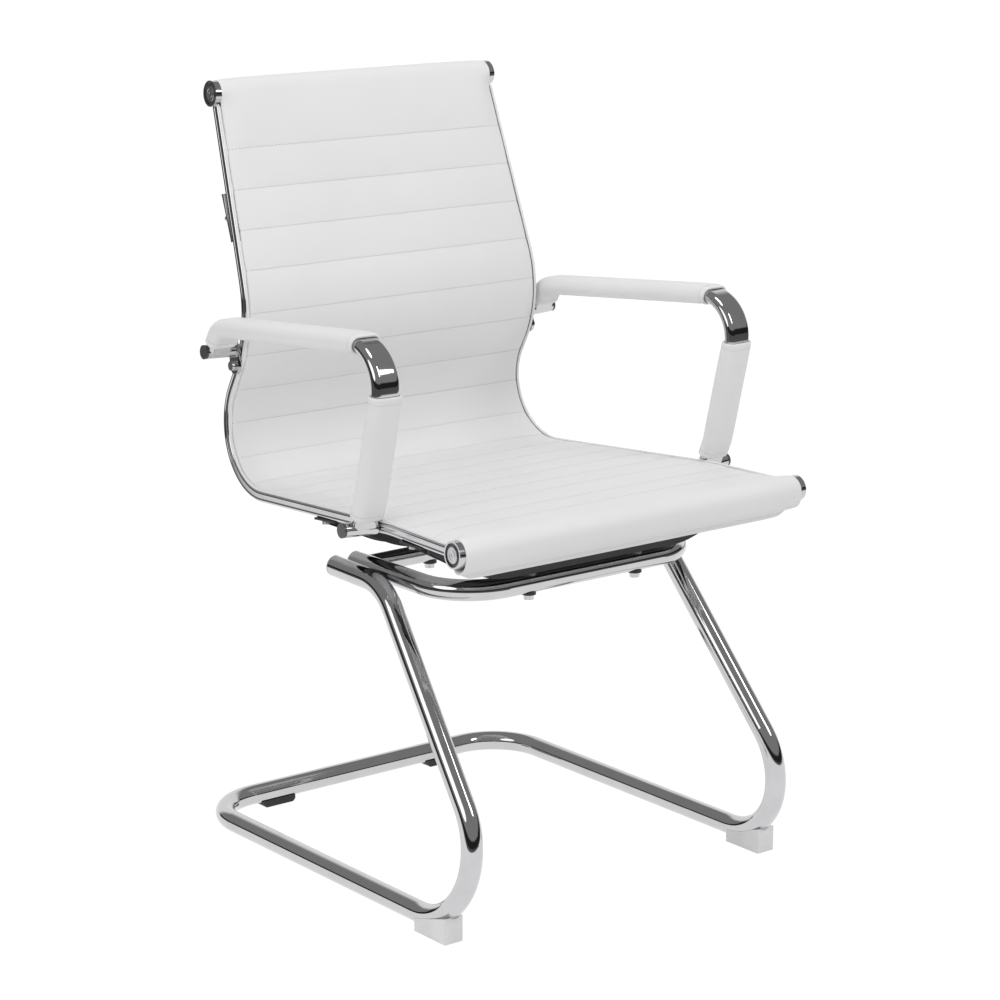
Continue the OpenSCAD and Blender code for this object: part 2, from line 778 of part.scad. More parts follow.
// Screw from below through a strip into the rail
rail_head_d = 8;
rail_head_h = 3;
module rail_screw(s) {
    bottom = -rail_depth / 2 - gap - spreader_t - gap;
    across_at(s)
        translate([rail_x_at(s), bottom, 0])
            rotate([-90, 0, 0]) {
                cylinder(d = rail_screw_d, h = spreader_t + rail_depth / 2);
                translate([0, 0, -rail_head_h]) cylinder(d = rail_head_d, h = rail_head_h);
            }
}

module brace_screws() { color("silver") both_sides() rail_screw(brace_station); }
module spreader_screws() {
    color("silver")
        both_sides() for (s = [front_spreader_station, rear_spreader_station]) rail_screw(s);
}

// Seat frame: a tube bent to a U that opens to the back, welded between the legs
frame_half = leg_half - sqrt(pow(tube_d + gap, 2) - pow(frame_rise, 2));
frame_line = [
    [frame_half, frame_end_back, frame_h],
    [frame_half, -frame_front, frame_h],
    [-frame_half, -frame_front, frame_h],
    [-frame_half, frame_end_back, frame_h]
];
frame_bends = [0, frame_bend, frame_bend, 0];

module seat_frame() {
    color("silver")
        difference() {
            space_sweep(frame_line, frame_bends) {
                pipe_section(tube_d, tube_wall);
                pipe_section(tube_d, tube_wall, band_grow);
            }
            bolt_holes(front_bolt);
        }
}

module rear_crossbar() {
    color("silver")
        difference() {
            translate([0, rear_bolt[1], frame_h])
                difference() {
                    bar_x(-frame_half, frame_half, rear_bar_d);
                    bar_x(-frame_half - over, frame_half + over, rear_bar_d - 2 * tube_wall);
                }
            both_sides()
                aimed(frame_line[0] + [0, over, 0], [0, -1, 0])
                    cylinder(d = tube_d + 2 * gap, h = frame_end_back + frame_front);
            bolt_holes(rear_bolt);
        }
}

// Heads, nuts and washers of the four bolts that hold the seat on the frame
bolt_head_h = 5.5;
bolt_head_d = 12;
nut_h = 5;
nut_d = 13;
saddle_d = 17;
saddle_up = 3;

module frame_bolts() {
    color("silver")
        both_sides()
            for (b = [front_bolt, rear_bolt])
                translate([b[0], b[1], frame_h - b[2] / 2 - saddle_t - gap]) {
                    translate([0, 0, -bolt_head_h]) cylinder(d = bolt_head_d, h = bolt_head_h);
                    cylinder(d = bolt_d, h = web_h - frame_h + b[2] / 2 + saddle_t + nut_h);
                }
}

// Curved black washers under the tubes
module frame_saddles() {
    color("black")
        both_sides()
            for (b = [front_bolt, rear_bolt])
                translate([b[0], b[1], frame_h])
                    difference() {
                        translate([0, 0, -b[2] / 2 - saddle_t])
                            cylinder(d = saddle_d, h = saddle_t + saddle_up);
                        bar_x(-saddle_d, saddle_d, b[2] + 2 * gap);
                        translate([0, 0, -b[2]]) cylinder(d = bolt_d + 2 * gap, h = b[2]);
                    }
}

spacer_d = 18;
module frame_spacers() {
    color("dimgray")
        both_sides()
            for (b = [front_bolt, rear_bolt])
                translate([b[0], b[1], frame_h])
                    difference() {
                        cylinder(d = spacer_d, h = web_h - spreader_t / 2 - gap - frame_h);
                        bar_x(-spacer_d, spacer_d, b[2] + 2 * gap);
                        translate([0, 0, -over]) cylinder(d = bolt_d + 2 * gap, h = web_h);
                    }
}

module frame_nuts() {
    color("silver")
        both_sides()
            for (b = [front_bolt, rear_bolt])
                translate([b[0], b[1], web_h + spreader_t / 2 + gap])
                    difference() {
                        cylinder(d = nut_d, h = nut_h, $fn = 6);
                        translate([0, 0, -over]) cylinder(d = bolt_d + gap, h = nut_h + 2 * over);
                    }
}

// Base: one tube from the left leg's open end round the floor to the right one
base_line = [
    [leg_half, leg_end_back, leg_end_h],
    [leg_half, -knee_front, knee_h],
    [base_half, -toe_front, floor_h],
    [base_half, bar_back, floor_h],
    [-base_half, bar_back, floor_h],
    [-base_half, -toe_front, floor_h],
    [-leg_half, -knee_front, knee_h],
    [-leg_half, leg_end_back, leg_end_h]
];
base_bends = [0, knee_bend, toe_bend, rear_bend, rear_bend, toe_bend, knee_bend, 0];
foot_screw_share = 0.2;
foot_screw_front = foot_back + foot_screw_share * foot_l;

module foot_screw_holes(d) {
    both_sides()
        translate([base_half, -foot_screw_front, 0]) cylinder(d = d, h = floor_h);
}

module glide_screw_holes(d) {
    both_sides()
        translate([glide_half, bar_back, 0]) cylinder(d = d, h = floor_h);
}

module base_frame() {
    color("silver")
        difference() {
            space_sweep(base_line, base_bends) {
                pipe_section(tube_d, tube_wall);
                pipe_section(tube_d, tube_wall, band_grow);
            }
            foot_screw_holes(foot_screw_d + 2 * gap);
            glide_screw_holes(foot_screw_d + 2 * gap);
        }
}

// Cap with a chamfered rim and a short plug, on the open end of a tube
cap_t = 1.2;
cap_chamfer = 1.6;
cap_plug_l = 9;
module tube_cap() {
    cylinder(d = tube_d, h = cap_t);
    translate([0, 0, cap_t]) cylinder(d1 = tube_d, d2 = tube_d - 2 * cap_chamfer, h = cap_chamfer);
    translate([0, 0, -cap_plug_l]) cylinder(d = tube_d - 2 * tube_wall - 2 * gap, h = cap_plug_l + gap);
}

module leg_end_caps() {
    v = base_line[0] - base_line[1];
    color("lightgray") both_sides() aimed(base_line[0] + gap * unit(v), v) tube_cap();
}

module frame_end_caps() {
    v = [0, 1, 0];
    color("lightgray") both_sides() aimed(frame_line[0] + gap * v, v) tube_cap();
}

// Moulded foot that cups the tube where it starts to rise
screw_sink = 3;
foot_head_d = 9;
module right_foot() {
    difference() {
        translate([base_half - tube_d / 2, 0, 0])
            rotate([90, 0, 90])
                linear_extrude(tube_d)
                    polygon([
                        [-foot_back, 0], [-foot_back, foot_low],
                        [-foot_back - foot_l, foot_high], [-foot_back - foot_l, 0]
                    ]);
        space_sweep(
            [base_line[1], base_line[2], base_line[3]],
            [0, toe_bend, 0]
        ) {
            circle(d = tube_d + 2 * gap);
            circle(d = tube_d + 2 * gap + 2 * band_grow);
        }
        translate([base_half, -foot_screw_front, -over]) {
            cylinder(d = foot_head_d + 2 * gap, h = screw_sink + over);
            cylinder(d = foot_screw_d + 2 * gap, h = floor_h);
        }
    }
}

module front_foot_right() { color("white") right_foot(); }
module front_foot_left() { color("white") mirror([1, 0, 0]) right_foot(); }

glide_h = 9;
glide_chamfer = 3.5;
module glide_outline() {
    half = glide_l / 2;
    polygon([
        [-half, glide_h], [-half, glide_chamfer], [glide_chamfer - half, 0],
        [half - glide_chamfer, 0], [half, glide_chamfer], [half, glide_h]
    ]);
}

module rear_glides() {
    color("black")
        both_sides()
            difference() {
                translate([glide_half, bar_back + glide_w / 2, 0])
                    rotate([90, 0, 0])
                        linear_extrude(glide_w)
                            glide_outline();
                translate([0, bar_back, floor_h]) bar_x(0, base_half, tube_d + 2 * gap);
                translate([glide_half, bar_back, -over]) {
                    cylinder(d = foot_head_d + 2 * gap, h = screw_sink + over);
                    cylinder(d = foot_screw_d + 2 * gap, h = floor_h);
                }
            }
}

// Screw from below into the tube's wall
foot_head_h = 2;
module floor_screw() {
    translate([0, 0, screw_sink - foot_head_h]) cylinder(d = foot_head_d, h = foot_head_h);
    translate([0, 0, screw_sink - gap])
        cylinder(d = foot_screw_d, h = floor_h - tube_d / 2 + 2 * tube_wall - screw_sink + gap);
}

module foot_screws() {
    color("silver") both_sides() translate([base_half, -foot_screw_front, 0]) floor_screw();
}

module glide_screws() {
    color("silver") both_sides() translate([glide_half, bar_back, 0]) floor_screw();
}

// Puts a drawing in the XY plane into the right arm's plane
module in_arm_plane() {
    translate([arm_spread, 0, 0])
        rotate([0, -arm_tilt, arm_toe])
            rotate([90, 0, 90])
                children();
}

// Side line of an arm: from the front bracket up the post, over the big bend and back.
// The post leans forwards, the top falls to the back, and both angles are in degrees.
arm_post_slope = 13.8;
arm_top_fall = 5.1;
// Where the foot of the post lies from the front bracket
arm_foot_from_bracket = [-14.05, 32.2];
// How far the rear corner lies in front of the rear bracket
arm_rear_ahead = 19.8;
arm_foot = front_bracket_at + arm_foot_from_bracket;
arm_corner = [arm_foot[0] - (arm_h - arm_foot[1]) * tan(arm_post_slope), arm_h];
arm_rear_y = rear_bracket_at[0] - arm_rear_ahead;
arm_rear = [arm_rear_y, arm_h - (arm_rear_y - arm_corner[0]) * tan(arm_top_fall)];
arm_line = [front_bracket_at, arm_foot, arm_corner, arm_rear, rear_bracket_at];
arm_bends = [0, arm_foot_bend, arm_bend, arm_rear_bend, 0];

// Flat oval across the arm's plane, whose flats are a share of its thickness;
// each circle starts inside the oval, so that every such section is split alike
flat_share = 0.996;
// The bands of the arms lie hidden in the sleeves, so they are thicker
arm_band_grow = 0.12;
module arm_section(grow) {
    for (k = [-1, 1])
        translate([0, k * (arm_w - arm_t) / 2])
            rotate(-90 * k)
                circle(d = arm_t + 2 * grow);
    square([flat_share * (arm_t + 2 * grow), arm_w - arm_t], center = true);
}

module arm_ring_section(outer, inner) {
    difference() {
        arm_section(outer);
        arm_section(inner);
    }
}

// Bracket tube on the outer face of the rail, with a bore and a sunk end for the bolt head
module bracket(at, reach) {
    translate([each at, rail_side + gap]) cylinder(d = bracket_d, h = reach);
}

module bracket_bore(at, reach) {
    translate([each at, 0]) {
        cylinder(d = arm_bolt_d + 2 * gap, h = reach + rail_side + over);
        translate([0, 0, rail_side + reach - counterbore_l])
            cylinder(d = counterbore_d, h = counterbore_l + over);
    }
}

// All that lies under the top of the right rail's outer face, inside the front bracket's end
module rail_room() {
    in_rail_plane()
        translate([-seat_front, 0, -rail_spread + rail_side + gap])
            cube([
                seat_front - front_bracket_front + bracket_d,
                front_bracket_at[1] + rail_depth / 2 + gap,
                rail_spread
            ]);
}

module right_arm() {
    difference() {
        union() {
            difference() {
                in_arm_plane()
                    planar_sweep(arm_line, arm_bends) {
                        arm_ring_section(0, -arm_wall);
                        arm_ring_section(arm_band_grow, -arm_wall - arm_band_grow);
                    }
                rail_room();
            }
            in_rail_plane() {
                bracket(front_bracket_at, front_bracket_reach);
                bracket(rear_bracket_at, rear_bracket_reach);
                lug();
            }
        }
        in_rail_plane() {
            bracket_bore(front_bracket_at, front_bracket_reach);
            bracket_bore(rear_bracket_at, rear_bracket_reach);
            translate([each rear_lug_at, 0])
                cylinder(d = arm_bolt_d + 2 * gap, h = rail_side + lug_t + over);
        }
    }
}

// Plate from the rear bracket to the rail
module lug() {
    translate([0, 0, rail_side + gap]) {
        translate(rear_lug_at) cylinder(d = lug_w, h = lug_t);
        translate(rear_bracket_at) cylinder(d = lug_w, h = lug_t);
        translate(rear_lug_at)
            rotate(heading(rear_lug_at, rear_bracket_at))
                translate([0, -flat_share * lug_w / 2])
                    cube([norm(rear_bracket_at - rear_lug_at), flat_share * lug_w, lug_t]);
    }
}

module arm_frame_right() { color("silver") right_arm(); }
module arm_frame_left() { color("silver") mirror([1, 0, 0]) right_arm(); }

// Sleeves that are pulled over the arm tube and stitched: one on the post, one on top.
// Each reaches a little way into the big bend.
post_sleeve_from = 16;
top_sleeve_end = 14;
post_sleeve_turn = 7.5;
top_sleeve_turn = 15;
sleeve_stub_l = 0.6;

module sleeve_sweep(p, r) {
    planar_sweep(p, r) {
        arm_ring_section(sleeve_t, soft_gap);
        arm_ring_section(sleeve_t + arm_band_grow, soft_gap - arm_band_grow);
    }
}

module arm_top_sleeve_right() { color("whitesmoke") right_top_sleeve(); }
module arm_top_sleeve_left() { color("whitesmoke") mirror([1, 0, 0]) right_top_sleeve(); }
module arm_post_sleeve_right() { color("whitesmoke") right_post_sleeve(); }
module arm_post_sleeve_left() { color("whitesmoke") mirror([1, 0, 0]) right_post_sleeve(); }

module right_top_sleeve() {
    a = heading(arm_line[2], arm_line[3]);
    reach = arm_bend * tan(top_sleeve_turn / 2);
    corner = run_start(arm_line, arm_bends, 2) - reach * ahead(a);
    in_arm_plane()
        sleeve_sweep(
            [
                corner - (reach + sleeve_stub_l) * ahead(a + top_sleeve_turn),
                corner, arm_line[3],
                arm_line[4] - top_sleeve_end * ahead(heading(arm_line[3], arm_line[4]))
            ],
            [0, arm_bend, arm_rear_bend, 0]
        );
}

module right_post_sleeve() {
    a = heading(arm_line[1], arm_line[2]);
    reach = arm_bend * tan(post_sleeve_turn / 2);
    corner = run_start(arm_line, arm_bends, 1)
        + (run_length(arm_line, arm_bends, 1) + reach) * ahead(a);
    in_arm_plane()
        sleeve_sweep(
            [
                arm_line[0] + post_sleeve_from * ahead(heading(arm_line[0], arm_line[1])),
                arm_line[1], corner,
                corner + (reach + sleeve_stub_l) * ahead(a - post_sleeve_turn)
            ],
            [0, arm_foot_bend, arm_bend, 0]
        );
}

// Bolts that thread into the rail: long ones through the front brackets, short ones in the lugs
arm_head_h = 5;
module arm_bolt(at, seat) {
    in_rail_plane()
        translate([each at, -rail_side]) {
            cylinder(d = arm_bolt_d, h = 2 * rail_side + seat + gap);
            translate([0, 0, 2 * rail_side + seat + gap])
                cylinder(d = counterbore_d - 4 * gap, h = arm_head_h);
        }
}

module arm_bolts() {
    color("silver")
        both_sides() {
            arm_bolt(front_bracket_at, front_bracket_reach - counterbore_l);
            arm_bolt(rear_lug_at, lug_t + gap);
        }
}

// Dark caps on the bracket ends
module arm_bolt_cap(at, reach) {
    in_rail_plane()
        translate([each at, rail_side + reach + 2 * gap]) {
            cylinder(d = bracket_d, h = bolt_cap_t);
            translate([0, 0, -bolt_cap_t]) cylinder(d = counterbore_d - 2 * gap, h = bolt_cap_t);
        }
}

module arm_bolt_caps() {
    color("dimgray")
        both_sides() {
            arm_bolt_cap(front_bracket_at, front_bracket_reach);
            arm_bolt_cap(rear_bracket_at, rear_bracket_reach);
        }
}

module centred() { translate([0, centre_shift, 0]) children(); }

centred() side_rail_left();
centred() side_rail_right();
centred() top_cross_tube();
centred() front_cross_tube();
centred() cross_tube_plugs();
centred() rail_end_screws();
centred() boss_rings();
centred() sling_pad();
centred() edge_piping_left();
centred() edge_piping_right();
centred() back_brace();
centred() brace_screws();
centred() front_seat_spreader();
centred() rear_seat_spreader();
centred() spreader_screws();
centred() seat_frame();
centred() rear_crossbar();
centred() frame_bolts();
centred() frame_saddles();
centred() frame_spacers();
centred() frame_nuts();
centred() base_frame();
centred() leg_end_caps();
centred() frame_end_caps();
centred() front_foot_left();
centred() front_foot_right();
centred() rear_glides();
centred() foot_screws();
centred() glide_screws();
centred() arm_frame_left();
centred() arm_frame_right();
centred() arm_top_sleeve_left();
centred() arm_top_sleeve_right();
centred() arm_post_sleeve_left();
centred() arm_post_sleeve_right();
centred() arm_bolts();
centred() arm_bolt_caps();
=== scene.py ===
"""Looks of a visitor chair with a cantilever base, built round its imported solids.

Every length is in metres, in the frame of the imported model: the sitter faces -Y, +X is the
sitter's left and the floor is z = 0.
"""

import json
import logging
import math
from dataclasses import dataclass
from enum import Enum

import bpy
import numpy as np
from bpy.types import ID, Material, Mesh, Node, NodeSocket, NodeTree, Object
from mathutils import Matrix, Vector, noise
from mathutils.bvhtree import BVHTree


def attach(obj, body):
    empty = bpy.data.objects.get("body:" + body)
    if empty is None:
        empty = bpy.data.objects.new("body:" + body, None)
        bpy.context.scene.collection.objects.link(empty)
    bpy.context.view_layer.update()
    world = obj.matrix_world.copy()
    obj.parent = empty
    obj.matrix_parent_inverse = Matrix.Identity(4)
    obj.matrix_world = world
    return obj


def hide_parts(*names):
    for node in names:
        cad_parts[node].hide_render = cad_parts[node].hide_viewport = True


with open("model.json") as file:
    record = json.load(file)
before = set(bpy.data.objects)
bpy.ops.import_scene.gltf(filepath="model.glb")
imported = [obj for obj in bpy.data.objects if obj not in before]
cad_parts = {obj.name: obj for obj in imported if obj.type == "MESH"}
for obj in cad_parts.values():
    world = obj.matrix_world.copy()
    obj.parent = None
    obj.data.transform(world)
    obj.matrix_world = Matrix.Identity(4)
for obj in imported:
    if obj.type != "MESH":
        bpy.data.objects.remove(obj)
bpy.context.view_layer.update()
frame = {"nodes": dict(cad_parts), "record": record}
LOG = logging.getLogger("chair")
MM = 0.001
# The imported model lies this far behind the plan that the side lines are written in
PLAN_SHIFT = 5.75 * MM
# Level direction from the chair to the camera
TOWARD = (-0.617, -0.787)

Point = tuple[float, float]
Colour = tuple[float, float, float]


class Side(Enum):
    """The two sides of the chair as seen from the front, with the sign of X on each."""

    LEFT = -1
    RIGHT = 1

    @property
    def word(self) -> str:
        """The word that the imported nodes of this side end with."""
        return self.name.lower()

    def mirror(self, point: Vector) -> Vector:
        """Puts a point of the right side on this side."""
        return Vector((point.x * self.value, point.y, point.z))


# --- Lines and planes -------------------------------------------------------


def ahead(start: Point, angle: float, far: float) -> Point:
    """The point that lies a length far from another, in the direction of an angle."""
    return start[0] + far * math.cos(angle), start[1] + far * math.sin(angle)


@dataclass(frozen=True)
class BentLine:
    """A line of straight runs joined by round bends, in one plane.

    Attributes:
        corners: the corners of the line, as (back, up).
        radii: the bend radius at each corner, 0 at both ends.
    """

    corners: tuple[Point, ...]
    radii: tuple[float, ...]

    def heading(self, i: int) -> float:
        """Direction of run i, in radians."""
        (a, b), (c, d) = self.corners[i], self.corners[i + 1]
        return math.atan2(d - b, c - a)

    def turn(self, i: int) -> float:
        """Angle by which the line turns at corner i, positive to the left."""
        if i in (0, len(self.corners) - 1):
            return 0.0
        return (self.heading(i) - self.heading(i - 1) + math.pi) % math.tau - math.pi

    def cut(self, i: int) -> float:
        """Length that the bend at corner i takes off the runs beside it."""
        return self.radii[i] * math.tan(abs(self.turn(i)) / 2)

    def run_start(self, i: int) -> Point:
        """Point where run i starts, after the bend before it."""
        return ahead(self.corners[i], self.heading(i), self.cut(i))

    def run_length(self, i: int) -> float:
        """Length of run i between its bends."""
        return math.dist(self.corners[i], self.corners[i + 1]) - self.cut(i) - self.cut(i + 1)

    def arc_length(self, i: int) -> float:
        """Length of the bend at corner i."""
        return self.radii[i] * abs(self.turn(i))

    @property
    def length(self) -> float:
        """Length of the whole line."""
        runs = range(len(self.corners) - 1)
        return sum(self.run_length(i) + self.arc_length(i + 1) for i in runs)

    def station(self, s: float) -> tuple[float, float, float]:
        """Finds a place on the line.

        Args:
            s: length along the line from its first corner.

        Returns:
            The place and the heading there, as (back, up, angle).
        """
        last = len(self.corners) - 2
        for i in range(last):
            a, run, start = self.heading(i), self.run_length(i), self.run_start(i)
            if s <= run:
                return *ahead(start, a, s), a
            s -= run
            if s <= self.arc_length(i + 1):
                r = math.copysign(self.radii[i + 1], self.turn(i + 1))
                y, z = ahead(start, a, run)
                b = a + s / r
                return y + r * (math.sin(b) - math.sin(a)), z - r * (math.cos(b) - math.cos(a)), b
            s -= self.arc_length(i + 1)
        a = self.heading(last)
        return *ahead(self.run_start(last), a, s), a

    def stops(self, straight: float, bend: float) -> list[float]:
        """Lengths along the line to put rings at.

        Args:
            straight: largest step on a straight run.
            bend: largest step in a bend.

        Returns:
            Lengths from 0 to the whole length, in order.
        """
        found, s = [0.0], 0.0
        for i in range(len(self.corners) - 1):
            for part, step in ((self.run_length(i), straight), (self.arc_length(i + 1), bend)):
                if part <= 0:
                    continue
                n = max(1, math.ceil(part / step))
                found += [s + part * (k + 1) / n for k in range(n)]
                s += part
        return found


@dataclass(frozen=True)
class TiltedPlane:
    """An upright plane on the right side that toes out to the front and leans in at the top.

    Attributes:
        spread: distance from the middle, at the floor line.
        toe: angle by which it opens towards the front, in degrees.
        tilt: angle by which it closes towards the top, in degrees.
    """

    spread: float
    toe: float
    tilt: float

    def place(self, y: float, z: float, out: float = 0.0) -> Vector:
        """Puts a point of the plane into the chair.

        Args:
            y: place behind the middle, in the plane.
            z: height, in the plane.
            out: distance from the plane, positive outwards.

        Returns:
            The point on the right side of the chair.
        """
        toe, tilt = math.radians(self.toe), math.radians(self.tilt)
        across = out * math.cos(tilt) - z * math.sin(tilt)
        return Vector((
            self.spread + across * math.cos(toe) - y * math.sin(toe),
            across * math.sin(toe) + y * math.cos(toe) + PLAN_SHIFT,
            out * math.sin(tilt) + z * math.cos(tilt),
        ))

    def half_width(self, point: Vector, inset: float) -> float:
        """Distance from the middle to a plane that lies inside this one.

        Args:
            point: a point whose Y and Z count.
            inset: how far the other plane lies inside.

        Returns:
            Distance along X.
        """
        toe, tilt = math.radians(self.toe), math.radians(self.tilt)
        y = point.y - PLAN_SHIFT
        lean = (inset + point.z * math.sin(tilt)) / (math.cos(tilt) * math.cos(toe))
        return self.spread - math.tan(toe) * y - lean


RAIL_LINE = BentLine(
    ((-0.2725, 0.455), (-0.142, 0.4555), (0.2815, 0.4288), (0.1695, 0.6295), (0.261, 0.9017)),
    (0.0, 0.3, 0.08, 0.137, 0.0),
)
RAIL_PLANE = TiltedPlane(0.251, 3.08, 2.32)
ARM_PLANE = TiltedPlane(0.256, 2.35, 0.4)


# --- Node trees -------------------------------------------------------------


class TreeDraft:
    """Short ways to write a node tree.

    Wherever a value is asked for, it may be a constant, a socket, or a node that stands for
    its first output.

    Attributes:
        tree: the node tree that is being written.
    """

    def __init__(self, tree: NodeTree) -> None:
        """Starts on an empty or new tree."""
        self.tree = tree

    def feed(self, sockets: list[NodeSocket], *values: object) -> None:
        """Gives inputs their values, in order."""
        for socket, value in zip(sockets, values):
            if isinstance(value, Node):
                value = value.outputs[0]
            if isinstance(value, NodeSocket):
                self.tree.links.new(value, socket)
            else:
                socket.default_value = value

    def node(self, kind: str, **values: object) -> Node:
        """Adds a node.

        Args:
            kind: Blender's name of the node type.
            **values: its properties, or its inputs where a name has a leading capital.

        Returns:
            The new node.
        """
        made = self.tree.nodes.new(kind)
        for name, value in values.items():
            if name[0].isupper():
                self.feed([made.inputs[name.replace("_", " ")]], value)
            else:
                setattr(made, name, value)
        return made

    def math(self, operation: str, *values: object) -> NodeSocket:
        """Adds a Math node, by Blender's name of its operation."""
        made = self.node("ShaderNodeMath", operation=operation)
        self.feed(made.inputs, *values)
        return made.outputs[0]

    def along(self, x: NodeSocket, y: NodeSocket, way: Point) -> NodeSocket:
        """How far a place lies in a level direction."""
        parts = (self.math("MULTIPLY", v, k) for v, k in zip((x, y), way))
        return self.math("ADD", *parts)

    def ramp(self, value: NodeSocket, low: Point, high: Point) -> NodeSocket:
        """Maps a value from one range to another.

        Args:
            value: the socket to map.
            low: (value, result) at the low end.
            high: (value, result) at the high end.

        Returns:
            The result's socket, clamped.
        """
        made = self.node(
            "ShaderNodeMapRange", clamp=True, Value=value,
            From_Min=low[0], From_Max=high[0], To_Min=low[1], To_Max=high[1],
        )
        return made.outputs["Result"]

    def blend(self, share: object, *colours: Colour | NodeSocket) -> NodeSocket:
        """Mixes two colours, with a share of 0 for the first."""
        made = self.node("ShaderNodeMix", data_type="RGBA")
        full = [(*c, 1.0) if isinstance(c, tuple) else c for c in colours]
        self.feed([made.inputs[k] for k in (0, 6, 7)], share, *full)
        return made.outputs[2]

    def either(self, share: object, first: object, second: object) -> Node:
        """Mixes two shaders, with a share of 0 for the first."""
        made = self.node("ShaderNodeMixShader")
        self.feed(made.inputs, share, first, second)
        return made


class MaterialDraft(TreeDraft):
    """A material with one Principled shader, whose patterns follow Object coordinates."""

    def __init__(self, name: str) -> None:
        """Starts a material of this name."""
        self.material = bpy.data.materials.new(name)
        self.material.use_nodes = True
        super().__init__(self.material.node_tree)
        self.tree.nodes.clear()
        self.shader = self.node("ShaderNodeBsdfPrincipled")
        self.out = self.node("ShaderNodeOutputMaterial", Surface=self.shader)
        self.at = self.node("ShaderNodeTexCoord").outputs["Object"]

    def noise(self, scale: float, detail: float = 3.0, rough: float = 0.5) -> NodeSocket:
        """Adds noise over the object.

        Args:
            scale: patches to a metre.
            detail: octaves.
            rough: weight of the finer octaves.

        Returns:
            The noise value's socket.
        """
        made = self.node(
            "ShaderNodeTexNoise", Vector=self.at, Scale=scale, Detail=detail, Roughness=rough
        )
        return made.outputs["Fac"]

    def cells(self, scale: float, feature: str = "F1") -> NodeSocket:
        """Adds round cells over the object.

        Args:
            scale: cells to a metre.
            feature: Blender's name of what is measured in a cell.

        Returns:
            The distance's socket.
        """
        made = self.node("ShaderNodeTexVoronoi", feature=feature, Vector=self.at, Scale=scale)
        return made.outputs["Distance"]

    def set(self, **values: object) -> None:
        """Sets inputs of the shader, with spaces in their names written as underscores."""
        for name, value in values.items():
            self.feed([self.shader.inputs[name.replace("_", " ")]], value)

    def bump(self, *heights: tuple[NodeSocket, float]) -> None:
        """Gives the shader one bump after another, as pairs of a height and a depth in metres."""
        before = {}
        for value, depth in heights:
            before["Normal"] = self.node(
                "ShaderNodeBump", Strength=1.0, Distance=depth, Height=value, **before
            )
        self.set(**before)

    def shade(self, share: object, colour: Colour, dark: float) -> None:
        """Colours the shader, and makes it darker by a factor where a pattern says."""
        self.set(Base_Color=self.blend(share, colour, tuple(dark * v for v in colour)))

    def roughen(self, pattern: NodeSocket, middle: float, less: float, more: float) -> None:
        """Lets a pattern take the roughness below and above its middle value."""
        self.set(Roughness=self.ramp(pattern, (0.3, middle - less), (0.7, middle + more)))


@dataclass(frozen=True)
class Chrome:
    """Bright plated metal with faint polishing marks and haze.

    Attributes:
        name: name of the material.
        tint: colour of its reflections.
        roughness: least roughness.
        haze: how much rougher its hazy patches are.
    """

    name: str
    tint: Colour = (0.58, 0.58, 0.59)
    roughness: float = 0.035
    haze: float = 0.05

    def material(self) -> Material:
        """Builds the material."""
        draft = MaterialDraft(self.name)
        haze = draft.noise(26.0, 4.0, 0.55)
        wear = draft.noise(420.0, 2.0, 0.6)
        draft.shade(draft.ramp(haze, (0.42, 0.0), (0.72, 1.0)), self.tint, 0.93)
        hazy = self.roughness + self.haze
        rough = draft.ramp(haze, (0.35, self.roughness), (0.75, hazy))
        draft.set(Roughness=rough, Metallic=1.0)
        draft.bump((haze, 0.00002), (wear, 0.0000012))
        return draft.material


@dataclass(frozen=True)
class TurnedMetal:
    """Metal turned on a lathe, or sawn, with fine lines in its roughness.

    Attributes:
        name: name of the material.
        tint: colour of its reflections.
        roughness: middle roughness.
    """

    name: str
    tint: Colour = (0.62, 0.62, 0.63)
    roughness: float = 0.26

    def material(self) -> Material:
        """Builds the material."""
        draft = MaterialDraft(self.name)
        fine = draft.noise(1500.0, 2.0, 0.7)
        draft.shade(draft.noise(60.0), self.tint, 0.8)
        draft.roughen(fine, self.roughness, 0.06, 0.08)
        draft.set(Metallic=1.0)
        draft.bump((fine, 0.00001))
        return draft.material


@dataclass(frozen=True)
class Moulded:
    """Moulded plastic, or paint over steel, with a fine orange-peel or spark-eroded grain.

    Attributes:
        name: name of the material.
        colour: its colour.
        roughness: middle roughness.
        grain: grains to a metre.
    """

    name: str
    colour: Colour
    roughness: float = 0.42
    grain: float = 1400.0

    def material(self) -> Material:
        """Builds the material."""
        draft = MaterialDraft(self.name)
        broad = draft.noise(35.0)
        grain = draft.noise(self.grain, 2.0, 0.6)
        draft.shade(draft.ramp(broad, (0.3, 0.0), (0.8, 1.0)), self.colour, 0.9)
        draft.roughen(broad, self.roughness, 0.04, 0.06)
        draft.bump((grain, 0.00002))
        return draft.material


